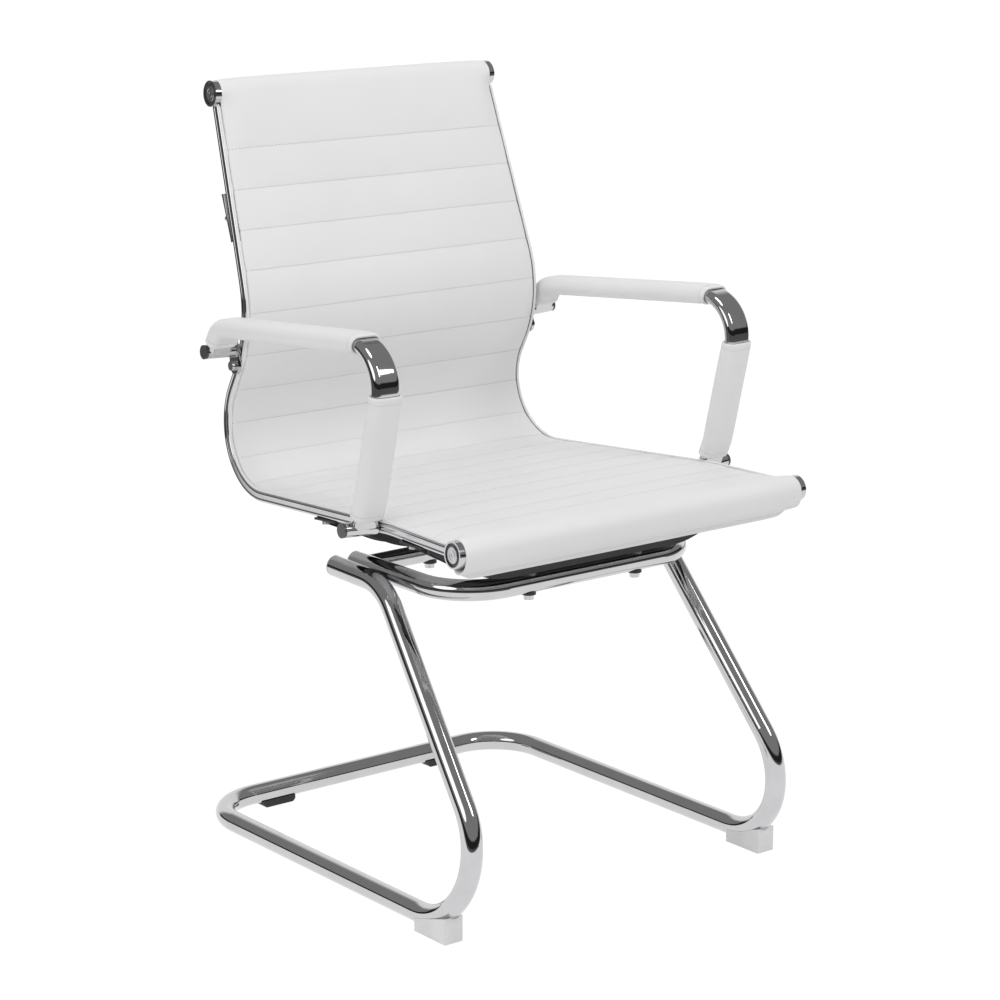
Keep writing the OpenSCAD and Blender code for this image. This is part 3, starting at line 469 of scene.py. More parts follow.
@dataclass(frozen=True)
class Leatherette:
    """White coated cloth with a fine pebble grain, with shade painted into its sewn grooves.

    Attributes:
        name: name of the material.
        pebble: width of a grain pebble in metres.
        colour: its colour.
        aged: how much of each colour is left where it has yellowed.
        groove_shade: colour of the shade painted into the grooves.
        roughness: middle roughness.
    """

    name: str
    pebble: float = 0.0009
    colour: Colour = (0.80, 0.80, 0.80)
    aged: Colour = (0.975, 0.972, 0.965)
    # Painted shade: the colour that the sewn grooves are darkened to.
    groove_shade: Colour = (0.755, 0.755, 0.76)
    roughness: float = 0.5

    def material(self) -> Material:
        """Builds the material."""
        draft = MaterialDraft(self.name)
        pebbles = draft.cells(1 / self.pebble)
        creases = draft.cells(0.45 / self.pebble, "DISTANCE_TO_EDGE")
        cloudy = draft.noise(9.0)
        # A mask of the shade painted into the sewn grooves and the sleeves' hems.
        dip = draft.node("ShaderNodeAttribute", attribute_name="groove_shade").outputs["Fac"]
        other = tuple(v * k for v, k in zip(self.colour, self.aged))
        base = draft.blend(draft.ramp(cloudy, (0.3, 0.0), (0.7, 1.0)), self.colour, other)
        draft.set(Base_Color=draft.blend(dip, base, self.groove_shade), Specular_IOR_Level=0.45)
        draft.roughen(draft.noise(900.0, 3.0, 0.6), self.roughness, 0.05, 0.07)
        folds = draft.ramp(creases, (0.0, 0.0), (0.12, 1.0))
        draft.bump((cloudy, 0.0004), (folds, 0.00003), (pebbles, 0.00006))
        return draft.material


@dataclass(frozen=True)
class Thread:
    """Twisted sewing thread.

    Attributes:
        name: name of the material.
        colour: its colour.
    """

    name: str
    colour: Colour

    def material(self) -> Material:
        """Builds the material."""
        draft = MaterialDraft(self.name)
        twist = draft.noise(5200.0, 1.0)
        draft.shade(twist, self.colour, 0.8)
        draft.set(Roughness=0.6, Specular_IOR_Level=0.3)
        draft.bump((twist, 0.00004))
        return draft.material


FINISHES = {
    "rail_chrome": Chrome("rail chrome", roughness=0.05, haze=0.06),
    "cross_tube_chrome": Chrome("cross tube chrome"),
    "turned_chrome": TurnedMetal("turned boss chrome", (0.80, 0.80, 0.81), 0.24),
    "brace_chrome": Chrome("brace chrome", roughness=0.07),
    "frame_chrome": Chrome("tube chrome"),
    "arm_chrome": Chrome("arm chrome", (0.58, 0.58, 0.59), 0.03, 0.03),
    "plug_metal": TurnedMetal("plug metal", (0.45, 0.45, 0.46), 0.35),
    "screw_steel": TurnedMetal("screw steel"),
    "bolt_steel": TurnedMetal("bolt steel", (0.70, 0.70, 0.71), 0.2),
    "dark_ring": Moulded("dark ring", (0.06, 0.06, 0.065), 0.35),
    "black_steel": Moulded("black steel", (0.018, 0.018, 0.02), 0.38, 900.0),
    "black_washer": Moulded("black washer", (0.022, 0.022, 0.024), 0.45),
    "spacer_grey": Moulded("grey spacer", (0.16, 0.16, 0.17), 0.5),
    "cap_plastic": Moulded("tube cap plastic", (0.60, 0.60, 0.61), 0.4),
    "foot_plastic": Moulded("white foot plastic", (0.80, 0.80, 0.80), 0.4),
    "glide_plastic": Moulded("black glide plastic", (0.02, 0.02, 0.022), 0.5),
    "dark_cap": Moulded("dark cap plastic", (0.07, 0.07, 0.075), 0.2),
    "sling_cover": Leatherette("sling leatherette"),
    "piping_cover": Leatherette("piping leatherette", pebble=0.0007),
    "sleeve_cover": Leatherette("sleeve leatherette", pebble=0.0008),
    # The back's thread is painted grey for the shade of the groove it lies in.
    "thread": Thread("thread greyed by painted groove shade", (0.42, 0.42, 0.43)),
    "pale_thread": Thread("pale thread", (0.66, 0.66, 0.66)),
}


class Wardrobe:
    """Builds each finish once and hands out its material."""

    def __init__(self) -> None:
        """Starts with no material made."""
        self.made: dict[str, Material] = {}

    def __getitem__(self, slot: str) -> Material:
        """The material of a slot."""
        if slot not in self.made:
            self.made[slot] = FINISHES[slot].material()
        return self.made[slot]

    def dress_frame(self) -> None:
        """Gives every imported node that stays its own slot's material."""
        for part in frame["record"]["subparts"]:
            mesh = frame["nodes"][part["node"]].data
            mesh.materials.clear()
            mesh.materials.append(self[part["material_slot"]])


WARDROBE = Wardrobe()


# --- Meshes -----------------------------------------------------------------


def smooth(t: float) -> float:
    """Eases from 0 to 1 as t goes from 0 to 1."""
    k = min(1.0, max(0.0, t))
    return k * k * (3 - 2 * k)


def mix(a: float, b: float, t: float) -> float:
    """The value a share t of the way from a to b."""
    return a + (b - a) * t


def put(name: str, data: ID) -> Object:
    """Makes an object of a mesh, a lamp or a camera and links it into the scene."""
    made = bpy.data.objects.new(name, data)
    bpy.context.scene.collection.objects.link(made)
    return made


def new_object(name: str, mesh: Mesh, slot: str) -> Object:
    """Puts a new mesh into the scene as a smooth piece, in the finish of a slot."""
    mesh.materials.append(WARDROBE[slot])
    mesh.shade_smooth()
    return put(name, mesh)


def read(mesh: Mesh, what: str = "co") -> np.ndarray:
    """Reads the place of each point of a mesh, or another vector of it, one to a row."""
    flat = np.empty(len(mesh.vertices) * 3)
    mesh.vertices.foreach_get(what, flat)
    return flat.reshape(-1, 3)


def move_points(mesh: Mesh, points: np.ndarray) -> None:
    """Gives a mesh new places for its points."""
    mesh.vertices.foreach_set("co", points.reshape(-1))
    mesh.update()


def ring_mesh(name: str, rings: list[list[Vector]], closed_ends: bool = True) -> Mesh:
    """Builds a closed skin over rings of points.

    Args:
        name: name of the mesh.
        rings: rings with the same number of points.
        closed_ends: whether the first and the last ring are filled; otherwise they are joined.

    Returns:
        The mesh, with its faces pointing outwards.
    """
    n, m = len(rings[0]), len(rings)
    faces = [
        (i * n + k, i * n + (k + 1) % n, (i + 1) % m * n + (k + 1) % n, (i + 1) % m * n + k)
        for i in range(m - 1 if closed_ends else m)
        for k in range(n)
    ]
    if closed_ends:
        faces += [tuple(reversed(range(n))), tuple((m - 1) * n + k for k in range(n))]
    mesh = bpy.data.meshes.new(name)
    mesh.from_pydata([tuple(p) for ring in rings for p in ring], [], faces)
    mesh.update()
    at = read(mesh)
    volume = sum(
        np.dot(at[f[0]], np.cross(at[f[j]], at[f[j + 1]]))
        for f in faces
        for j in range(1, len(f) - 1)
    )
    if volume < 0:
        mesh.flip_normals()
    return mesh


def keep_result(piece: Object) -> None:
    """Makes what a piece's modifiers give its mesh, and removes them."""
    graph = bpy.context.evaluated_depsgraph_get()
    mesh = bpy.data.meshes.new_from_object(piece.evaluated_get(graph), depsgraph=graph)
    piece.modifiers.clear()
    piece.data = mesh


def paint(mesh: Mesh, values: list[float]) -> None:
    """Writes how much painted shade each point of a mesh gets from a sewn groove, from 0 to 1."""
    layer = mesh.attributes.new("groove_shade", "FLOAT", "POINT")
    layer.data.foreach_set("value", values)


def settle(mesh: Mesh, paths: list[list[Vector]], off: float) -> list[list[Vector]]:
    """Moves paths to the surface of a mesh.

    Args:
        mesh: the mesh.
        paths: lines of points near it.
        off: how far the points then stand off it.

    Returns:
        The moved paths.
    """
    surface = BVHTree.FromPolygons(
        [v.co for v in mesh.vertices], [tuple(f.vertices) for f in mesh.polygons]
    )
    found = []
    for path in paths:
        near = [surface.find_nearest(p) for p in path]
        found.append([spot + normal * off for spot, normal, _, _ in near])
    return found


class StitchTree:
    """A Geometry Nodes tree that lays stitches of one length along the edges of a mesh."""

    def __init__(self) -> None:
        """Builds the tree."""
        self.tree = bpy.data.node_groups.new("Stitches", "GeometryNodeTree")
        face = self.tree.interface
        face.new_socket("Geometry", in_out="INPUT", socket_type="NodeSocketGeometry")
        kinds = {
            "Pitch": "Float", "Length": "Float", "Thickness": "Float", "Seed": "Int",
            "Thread": "Material",
        }
        self.keys = {
            name: face.new_socket(name, in_out="INPUT", socket_type=f"NodeSocket{kind}").identifier
            for name, kind in kinds.items()
        }
        face.new_socket("Geometry", in_out="OUTPUT", socket_type="NodeSocketGeometry")
        draft = TreeDraft(self.tree)
        given = draft.node("NodeGroupInput").outputs
        curve = draft.node("GeometryNodeMeshToCurve", Mesh=given["Geometry"])
        spaced = draft.node(
            "GeometryNodeResampleCurve", mode="LENGTH", Curve=curve, Length=given["Pitch"]
        )
        bead = draft.node("GeometryNodeMeshUVSphere", Segments=6, Rings=5, Radius=0.5)
        soft = draft.node("GeometryNodeSetShadeSmooth", Geometry=bead)
        along = draft.node("GeometryNodeInputTangent")
        aim = draft.node("FunctionNodeAlignRotationToVector", axis="X", Vector=along)
        uneven = draft.node(
            "FunctionNodeRandomValue", data_type="FLOAT", Min=0.9, Max=1.08, Seed=given["Seed"]
        )
        size = draft.node(
            "ShaderNodeCombineXYZ", Y=given["Thickness"], Z=given["Thickness"],
            X=draft.math("MULTIPLY", given["Length"], uneven.outputs[1]),
        )
        laid = draft.node(
            "GeometryNodeInstanceOnPoints", Points=spaced, Instance=soft, Rotation=aim, Scale=size
        )
        real = draft.node("GeometryNodeRealizeInstances", Geometry=laid)
        dressed = draft.node("GeometryNodeSetMaterial", Geometry=real, Material=given["Thread"])
        draft.feed(draft.node("NodeGroupOutput").inputs, dressed)

    def sew(
        self, name: str, paths: list[list[Vector]], slot: str, pitch: float, length: float,
        thickness: float, seed: int, thread: str,
    ) -> None:
        """Lays stitches along paths, as one mesh piece that rides with the chair.

        Args:
            name: name of the new piece.
            paths: lines of points that lie on a surface.
            slot: the record's slot that the thread belongs to; not used.
            pitch: distance between two stitches.
            length: length of a stitch.
            thickness: thickness of the thread.
            seed: seed of the small differences in length.
            thread: key of the thread's finish.
        """
        points = [tuple(p) for path in paths for p in path]
        edges, start = [], 0
        for path in paths:
            edges += [(start + k, start + k + 1) for k in range(len(path) - 1)]
            start += len(path)
        lines = bpy.data.meshes.new(name)
        lines.from_pydata(points, edges, [])
        piece = put(name, lines)
        step = piece.modifiers.new("Stitches", "NODES")
        step.node_group = self.tree
        values = (pitch, length, thickness, seed, WARDROBE[thread])
        for key, value in zip(self.keys.values(), values):
            step[key] = value
        keep_result(piece)
        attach(piece, "root")
        LOG.info("%s: %d triangles", name, sum(len(f.vertices) - 2 for f in piece.data.polygons))


# --- The sling --------------------------------------------------------------


@dataclass(frozen=True)
class Ring:
    """One ring of points across the sling.

    Attributes:
        at: length along the rail.
        lift: height of its middle over the middle of the rail.
        turn: how far it is turned round a cross tube.
        thick: thickness of the sling there.
        draw: how far its sides are drawn in.
        dip: 1 in the hollow of a sewn seam and 0 away from it.
        lip: how far the sewn lip stands down there.
    """

    at: float
    lift: float
    turn: float
    thick: float
    draw: float = 0.0
    dip: float = 0.0
    lip: float = 0.0

    @property
    def is_face(self) -> bool:
        """Whether it lies on the sitter's side."""
        return abs(self.turn) < 0.02

    @property
    def is_seam(self) -> bool:
        """Whether it lies in the hollow of a sewn seam on the sitter's side."""
        return self.dip > 0.97 and self.is_face


@dataclass
class Sling:
    """The thin padded sling, from the hem under the seat's front to the hem behind the top.

    Attributes:
        crown: thickness between two seams before the filling swells.
        seam: thickness at a seam.
        wrap: thickness round the cross tubes.
        first: distance of the first seam below the top tube.
        last: distance of the last seam behind the front tube.
        count: number of seams.
        lift: height of its middle over the middle of the rail.
        draw: how much the seams draw the sides in.
        hem: length that comes back behind each cross tube.
        tube: diameter of the cross tubes.
        boss: radius of the bosses at their ends.
        gap: room between two layers that lie on each other.
        settling: distance from a cross tube at which the sling has its own height and thickness.
        sag: how far the front roll hangs below its snug path.
        lip: height of the sewn lip behind the front roll.
        seat_top: height below which a seam lies on the seat.
        columns: points across one face.
    """

    crown: float = 7.8 * MM
    seam: float = 6.3 * MM
    wrap: float = 7.2 * MM
    first: float = 70 * MM
    last: float = 48.4 * MM
    count: int = 18
    lift: float = 6.6 * MM
    draw: float = 0.7 * MM
    hem: float = 56 * MM
    tube: float = 20 * MM
    boss: float = 15.5 * MM
    gap: float = 0.4 * MM
    settling: float = 0.12
    sag: float = 7 * MM
    lip: float = 9 * MM
    seat_top: float = 0.5
    columns: int = 46

    def __post_init__(self) -> None:
        """Works out where the seams are."""
        self.length = RAIL_LINE.length
        self.pitch = (self.length - self.first - self.last) / (self.count - 1)
        self.seams = [self.last + k * self.pitch for k in range(self.count)]
        self.wrap_lift = self.tube / 2 + self.gap + self.wrap / 2
        self.firmness: list[float] = []
        self.seam_rows: list[list[Vector]] = []

    def end_distance(self, s: float) -> float:
        """Distance along the rail to the nearer cross tube."""
        return min(s, self.length - s)

    def lift_at(self, s: float) -> float:
        """Height of the sling's middle over the rail's middle."""
        return mix(self.wrap_lift, self.lift, smooth(self.end_distance(s) / self.settling))

    def inset_at(self, ring: Ring) -> float:
        """How far the sling's side lies inside the middle of the rail."""
        on_rail, behind_rail, start, reach = 0.6 * MM, 3.2 * MM, 6 * MM, 8 * MM
        if ring.turn < 3:
            return on_rail
        return mix(on_rail, behind_rail, smooth((self.end_distance(ring.at) - start) / reach))

    def side_lift(self, ring: Ring) -> float:
        """Height of the sling's side, which stands on the rail and laps over the bosses."""
        s, lap, reach = self.end_distance(ring.at), 1.0 * MM, 12 * MM
        if ring.is_face:
            boss = math.sqrt(max(0.0, self.boss**2 - s**2))
            return max(self.lift, boss + lap)
        return ring.lift + (self.boss + lap - self.wrap_lift) * (1 - smooth(s / reach))

    def face_ring(self, s: float, crown: float) -> Ring:
        """One ring on the sitter's side, with a crown of 0 at a seam and 1 between two."""
        full = mix(self.wrap, self.crown, smooth(self.end_distance(s) / self.settling))
        thick = mix(self.seam, full, crown)
        return Ring(s, self.lift_at(s), 0.0, thick, self.draw * (1 - crown), 1 - crown)

    def wrap_ring(self, s: float, turn: float, sag: float) -> Ring:
        """One ring round a cross tube, where the lower half of a roll may sag."""
        low = smooth(2 * abs(turn) / math.pi - 1)
        return Ring(s, self.wrap_lift + sag * low, turn, self.wrap)

    def hem_ring(self, s: float, sag: float, lip: float = 0.0) -> Ring:
        """One ring of a hem, behind the sling near a cross tube."""
        thin, padding, reach = 3 * MM, 8.8 * MM, 12 * MM
        under = (thin + padding) / 2 + self.gap - self.lift_at(s)
        lift = mix(self.wrap_lift + sag, under, smooth(self.end_distance(s) / self.hem))
        near = smooth(self.end_distance(s) / reach)
        return Ring(s, lift, math.pi, mix(self.wrap, thin, near), self.draw * near, 0.0, lip)

    def lip_rings(self) -> list[Ring]:
        """Rings of the sewn lip that stands down behind the front roll, from back to front."""
        shape = (
            (9.2, 0.0), (8.4, 0.04), (7.7, 0.4), (7.1, 0.8), (6.2, 0.97), (5.0, 1.0),
            (3.9, 0.97), (3.1, 0.8), (2.6, 0.4), (2.1, 0.04), (1.2, 0.0),
        )
        return [self.hem_ring(at * MM, self.sag, share * self.lip) for at, share in shape]

    def ring_list(self) -> list[Ring]:
        """All rings in order, from the front hem to the top one."""
        places = (0.0, 0.035, 0.09, 0.17, 0.28, 0.42, 0.58, 0.72, 0.83, 0.91, 0.965)
        panel = (0.08, 0.2, 0.36, 0.52, 0.68, 0.8, 0.9, 0.965)
        hems = (1.0, 0.93, 0.78, 0.6, 0.4, 0.24)
        round_off, wraps = 0.55, 14
        found = [self.hem_ring(k * self.hem, self.sag) for k in hems]
        found += self.lip_rings()
        found += [self.wrap_ring(0.0, math.pi * k / wraps, self.sag) for k in range(wraps, -1, -1)]
        for p in panel:
            found.append(self.face_ring(p * self.last, min(1.0, (1 - p) / 0.25) ** round_off))
        for start in self.seams[:-1]:
            for p in places:
                crown = math.sin(math.pi * p) ** round_off if p else 0.0
                found.append(self.face_ring(start + p * self.pitch, crown))
        found.append(self.face_ring(self.seams[-1], 0.0))
        for p in reversed(panel):
            crown = min(1.0, (1 - p) / 0.2) ** round_off
            found.append(self.face_ring(self.length - p * self.first, crown))
        found += [self.wrap_ring(self.length, -math.pi * k / wraps, 0.0) for k in range(wraps + 1)]
        found += [self.hem_ring(self.length - k * self.hem, 0.0) for k in reversed((*hems, 0.06))]
        return found

    def ring_points(self, ring: Ring) -> list[Vector]:
        """Points round one ring: across the sitter's face and back across the other.

        Args:
            ring: a ring from ring_list.

        Returns:
            The points, which start and turn back at the two sides.
        """
        y, z, a = RAIL_LINE.station(ring.at)
        side = self.side_lift(ring)
        # Near the cross tubes the padding comes down to the rail at its sides
        drop = max(0.0, ring.lift - side) if ring.is_face else 0.0
        crowding, squareness, underside, drop_width, lip_width = 0.78, 5, 0.9, 0.1, 0.09
        found = []
        for face in (1, -1):
            for k in range(self.columns):
                across = -face * math.cos(math.pi * k / self.columns)
                across = math.copysign(1 - (1 - abs(across)) ** crowding, across)
                bulge = (1 - abs(across) ** squareness) ** (1 / squareness)
                low = 1.0 if face > 0 else underside
                h = ring.lift + face * low * bulge * ring.thick / 2
                h -= drop * (1 - smooth((1 - abs(across)) / drop_width))
                if k == 0:
                    h = side
                elif face > 0:
                    h += ring.lip * smooth((1 - abs(across)) / lip_width)
                elif ring.is_face and k in (1, self.columns - 1):
                    h = max(h, self.lift)
                middle = RAIL_PLANE.place(*ahead((y, z), a + ring.turn + math.pi / 2, h))
                half = RAIL_PLANE.half_width(middle, self.inset_at(ring)) - ring.draw
                found.append(Vector((across * half, middle.y, middle.z)))
                self.firmness.append(self.held(ring, across))
        if ring.is_seam:
            self.seam_rows.append(found[: self.columns + 1])
        return found

    def held(self, ring: Ring, across: float) -> float:
        """How firmly a point is held while the filling swells, from 0 to 1."""
        if not ring.is_face or ring.dip > 0.97 or self.end_distance(ring.at) < 4 * MM:
            return 1.0
        return smooth(abs(across) ** 16)

    def build(self) -> Object:
        """Builds the sling and returns its finished piece."""
        points = [self.ring_points(ring) for ring in self.ring_list()]
        piece = new_object("sling", ring_mesh("sling", points), "sling_cover")
        self.swell(piece)
        piece.modifiers.new("Subdivision", "SUBSURF")
        keep_result(piece)
        self.finish_surface(piece.data)
        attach(piece, "root")
        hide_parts("sling_pad")
        return piece

    def swell(self, piece: Object) -> None:
        """Lets the filling of the unrefined sling swell between the seams, as cloth."""
        firm = piece.vertex_groups.new(name="firm")
        for i, weight in enumerate(self.firmness):
            if weight > 0:
                firm.add([i], weight, "REPLACE")
        start = read(piece.data)
        step = piece.modifiers.new("Filling", "CLOTH")
        cloth = step.settings
        cloth.quality = 6
        cloth.mass = 0.35
        cloth.tension_stiffness = cloth.compression_stiffness = 22.0
        cloth.shear_stiffness = 9.0
        cloth.bending_stiffness = 0.9
        cloth.vertex_group_mass = "firm"
        cloth.pin_stiffness = 1.0
        cloth.use_pressure = True
        cloth.uniform_pressure_force = 3.4
        cloth.effector_weights.gravity = 0.0
        frames, most = 18, 0.5 * MM
        step.point_cache.frame_start, step.point_cache.frame_end = 1, frames
        scene = bpy.context.scene
        for now in range(1, frames + 1):
            scene.frame_set(now)
        keep_result(piece)
        moved = read(piece.data) - start
        far = np.linalg.norm(moved, axis=1)
        scale = np.where(far > most, most / np.maximum(far, 1e-9), 1.0)
        move_points(piece.data, start + moved * scale[:, None])
        scene.frame_set(1)
        LOG.info("the filling swelled by %.2f mm at most, before the cap", far.max() / MM)

    def finish_surface(self, mesh: Mesh) -> None:
        """Adds small puckers beside the seams and paints shade into the grooves."""
        groove_shade, reach, clear = 0.9 * MM, 9 * MM, 2 * MM
        points, normals = read(mesh), read(mesh, "normal")
        middles = np.array([tuple(row[self.columns // 2 + 1])[1:] for row in self.seam_rows])
        apart = points[:, None, 1:] - middles[None]
        near = np.sqrt((apart**2).sum(axis=2)).min(axis=1)
        for i, p in enumerate(points):
            fade = math.exp(-near[i] / reach) * (1 - math.exp(-near[i] / clear))
            pucker = noise.noise(Vector((p[0] * 70, p[1] * 28, p[2] * 28)))
            fine = noise.noise(Vector((p[0] * 160 + 7, p[1] * 60, p[2] * 60)))
            slack = noise.noise(Vector((p[0] * 9, p[1] * 14, p[2] * 14)))
            shift = fade * (0.7 * pucker + 0.35 * fine) * MM + 0.35 * MM * slack
            points[i] += normals[i] * shift
        move_points(mesh, points)
        # Painted shade, darkest along the middle of each seam and fading within a couple of
        # millimetres.
        paint(mesh, [float(v) for v in np.exp(-((near / groove_shade) ** 2))])
        mesh.shade_smooth()

    def sew(self, piece: Object, tree: StitchTree) -> None:
        """Lays the stitches of every seam on the sitter's face."""
        paths = settle(piece.data, [row[1:-1] for row in self.seam_rows], 0.12 * MM)
        seat = [path for path in paths if path[0].z < self.seat_top]
        back = [path for path in paths if path[0].z >= self.seat_top]
        for name, rows, thread in (("back", back, "thread"), ("seat", seat, "pale_thread")):
            tree.sew(
                f"{name}_stitches", rows, "sling_cover", 4.6 * MM, 2.8 * MM, 0.55 * MM, 3, thread
            )


# --- Piping and sleeves -----------------------------------------------------


@dataclass
class Piping:
    """The cord-filled edge that lies on a rail beside the sling.

    Attributes:
        side: which side of the chair it is on.
        diameter: its thickness.
        lift: height of its middle over the middle of the rail.
        out: how far its middle lies outside the middle of the rail.
        end: distance of its ends from the cross tubes.
    """

    side: Side
    diameter: float = 3.2 * MM
    lift: float = 7.8 * MM
    out: float = 1.2 * MM
    end: float = 17 * MM

    def build(self) -> None:
        """Builds the piping of this side."""
        end, far, around, thin_end = self.end, RAIL_LINE.length - self.end, 16, 0.35
        stops = [end, *(s for s in RAIL_LINE.stops(6 * MM, 4 * MM) if end < s < far), far]
        rings = []
        for s in stops:
            y, z, a = RAIL_LINE.station(s)
            taper = thin_end if s in (end, far) else 1.0
            r = taper * self.diameter / 2 * (1 + 0.03 * noise.noise(Vector((s * 60, 0, 3))))
            ring = []
            for k in range(around):
                b = math.tau * k / around
                over = ahead((y, z), a + math.pi / 2, self.lift + r * math.cos(b))
                ring.append(self.side.mirror(RAIL_PLANE.place(*over, self.out + r * math.sin(b))))
            rings.append(ring)
        name = f"piping_{self.side.word}"
        piece = new_object(name, ring_mesh(name, rings), "piping_cover")
        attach(piece, "root")
        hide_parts(f"edge_piping_{self.side.word}")


@dataclass
class Sleeve:
    """A padded sleeve pulled over a flat oval arm tube, with a stitched hem at each end.

    Attributes:
        name: name of the piece, without its side.
        side: which side of the chair it is on.
        line: its line in the arm's plane.
        width: width of the arm tube, across the arm's plane.
        thick: thickness of the arm tube.
        wall: thickness of the sleeve.
        fit: room between the sleeve and the tube.
        hem: distance of the hem stitches from each end.
        count: points round it.
    """

    name: str
    side: Side
    line: BentLine
    width: float = 34.4 * MM
    thick: float = 14.8 * MM
    wall: float = 3.0 * MM
    fit: float = 0.4 * MM
    hem: float = 6.5 * MM
    count: int = 48

    def oval(self, s: float, outer: bool) -> list[Vector]:
        """Points round the tube's flat oval, on the sleeve's outer or inner skin.

        Args:
            s: length along the sleeve.
            outer: whether the points lie on the outer skin, which swells.

        Returns:
            The points in the chair.
        """
        y, z, a = self.line.station(s)
        r, flat = self.thick / 2, (self.width - self.thick) / 2
        half = math.pi * r + 2 * flat
        found = []
        for k in range(self.count):
            t = (k + 0.5) / self.count * 2 * half
            sign = 1 if t < half else -1
            t %= half
            b = min(t / r, math.pi)
            nu, nv = sign * math.cos(b), sign * math.sin(b)
            u, v = r * nu, r * nv + sign * (flat - max(0.0, t - math.pi * r))
            grow = self.fit + self.wall + self.swelling(s, u, v, nu) if outer else self.fit
            over = ahead((y, z), a + math.pi / 2, u + nu * grow)
            found.append(self.side.mirror(ARM_PLANE.place(*over, v + nv * grow)))
        return found

    def swelling(self, s: float, u: float, v: float, nu: float) -> float:
        """Small folds, the crown of the padding and the pinch of the hem stitches.

        Args:
            s: length along the sleeve.
            u: place across the thickness.
            v: place across the width.
            nu: how far the surface faces up or down there.

        Returns:
            How far the surface stands out there.
        """
        end = min(s, self.line.length - s)
        pinch = -0.25 * MM * self.near_hem(end, 1.4 * MM)
        turned = -0.7 * MM * (1 - smooth(end / (1.2 * MM)))
        crown = 0.7 * MM * abs(nu) * (1 - (2 * v / self.width) ** 2) * smooth(end / (30 * MM))
        seed = 11.0 if self.side is Side.LEFT else 3.0
        fold = noise.noise(Vector((s * 55 + seed, u * 60, v * 38)))
        fine = noise.noise(Vector((s * 130, u * 90 + seed, v * 60)))
        loose = 0.35 + 0.9 * self.near_hem(end, 14 * MM)
        return pinch + turned + crown + loose * (0.32 * fold + 0.14 * fine) * MM

    def near_hem(self, end: float, reach: float) -> float:
        """1 at the hem's stitches and 0 far from them, by the distance from the end."""
        return math.exp(-(((end - self.hem) / reach) ** 2))

    def build(self, tree: StitchTree, seed: int) -> None:
        """Builds the sleeve and its hem stitches.

        Args:
            tree: the tree that lays stitches.
            seed: seed of the stitches.
        """
        total, plain = self.line.length, 12.5 * MM
        ends = [k * MM for k in (0.0, 0.4, 1.2, 2.4, 3.8, 5.0, 5.9, 6.5, 7.1, 8.0, 9.4, 11.2)]
        between = [s for s in self.line.stops(3.5 * MM, 2.5 * MM) if plain < s < total - plain]
        stops = sorted({round(s, 6) for s in (*ends, *(total - k for k in ends), *between)})
        outer = [self.oval(s, True) for s in stops]
        inner = [self.oval(s, False) for s in reversed(stops)]
        name = f"{self.name}_{self.side.word}"
        mesh = ring_mesh(name, outer + inner, closed_ends=False)
        piece = new_object(name, mesh, "sleeve_cover")
        edge = [min(s, total - s) for s in (*stops, *reversed(stops)) for _ in range(self.count)]
        # Painted shade along the pinch of each hem's stitches, half as dark as in the sling's
        # seams.
        paint(mesh, [0.5 * self.near_hem(e, 1.1 * MM) for e in edge])
        hems = [self.oval(s, True) for s in (self.hem, total - self.hem)]
        paths = [[*path, path[0]] for path in settle(mesh, hems, 0.15 * MM)]
        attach(piece, "root")
        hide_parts(f"{name}")
        tree.sew(
            f"{name}_stitches", paths, "sleeve_cover", 3.6 * MM, 2.5 * MM, 0.5 * MM, seed,
            "pale_thread",
        )


@dataclass
class Arms:
    """The sleeves of both arms.

    Attributes:
        corners: corners of the arm's line, from the front bracket to the rear one.
        radii: bend radii of that line.
        post_start: how far along the line the post's sleeve starts.
        top_end: how far before the line's end the top sleeve ends.
        post_turn: how far the post's sleeve reaches into the big bend, in degrees.
        top_turn: how far the top sleeve reaches into it, in degrees.
        stub: length of the straight beyond that.
    """

    corners: tuple[Point, ...] = (
        (-0.115, 0.4538), (-0.12905, 0.486), (-0.174, 0.669), (0.17661, 0.63771), (0.1964, 0.6052),
    )
    radii: tuple[float, ...] = (0.0, 0.03, 0.047, 0.026, 0.0)
    post_start: float = 16 * MM
    top_end: float = 14 * MM
    post_turn: float = 7.5
    top_turn: float = 15.0
    stub: float = 0.6 * MM

    def lines(self) -> tuple[BentLine, BentLine]:
        """Works out the lines of the two sleeves of one arm.

        Returns:
            The post sleeve's line and the top sleeve's line.
        """
        arm = BentLine(self.corners, self.radii)
        _, low, big, rear, _ = self.radii
        turn = math.radians(self.post_turn)
        reach = big * math.tan(turn / 2)
        start = ahead(self.corners[0], arm.heading(0), self.post_start)
        corner = ahead(arm.run_start(1), arm.heading(1), arm.run_length(1) + reach)
        tip = ahead(corner, arm.heading(1) - turn, reach + self.stub)
        post = BentLine((start, self.corners[1], corner, tip), (0.0, low, big, 0.0))
        turn = math.radians(self.top_turn)
        reach = big * math.tan(turn / 2)
        corner = ahead(arm.run_start(2), arm.heading(2), -reach)
        tip = ahead(corner, arm.heading(2) + turn, -reach - self.stub)
        end = ahead(self.corners[4], arm.heading(3), -self.top_end)
        top = BentLine((tip, corner, self.corners[3], end), (0.0, big, rear, 0.0))
        return post, top

    def build(self, tree: StitchTree) -> None:
        """Builds the four sleeves with their stitches."""
        post, top = self.lines()
        for k, side in enumerate(Side):
            Sleeve("arm_post_sleeve", side, post).build(tree, 20 + k)
            Sleeve("arm_top_sleeve", side, top).build(tree, 30 + k)
            LOG.info("sleeves of the %s arm", side.word)


# --- Studio -----------------------------------------------------------------


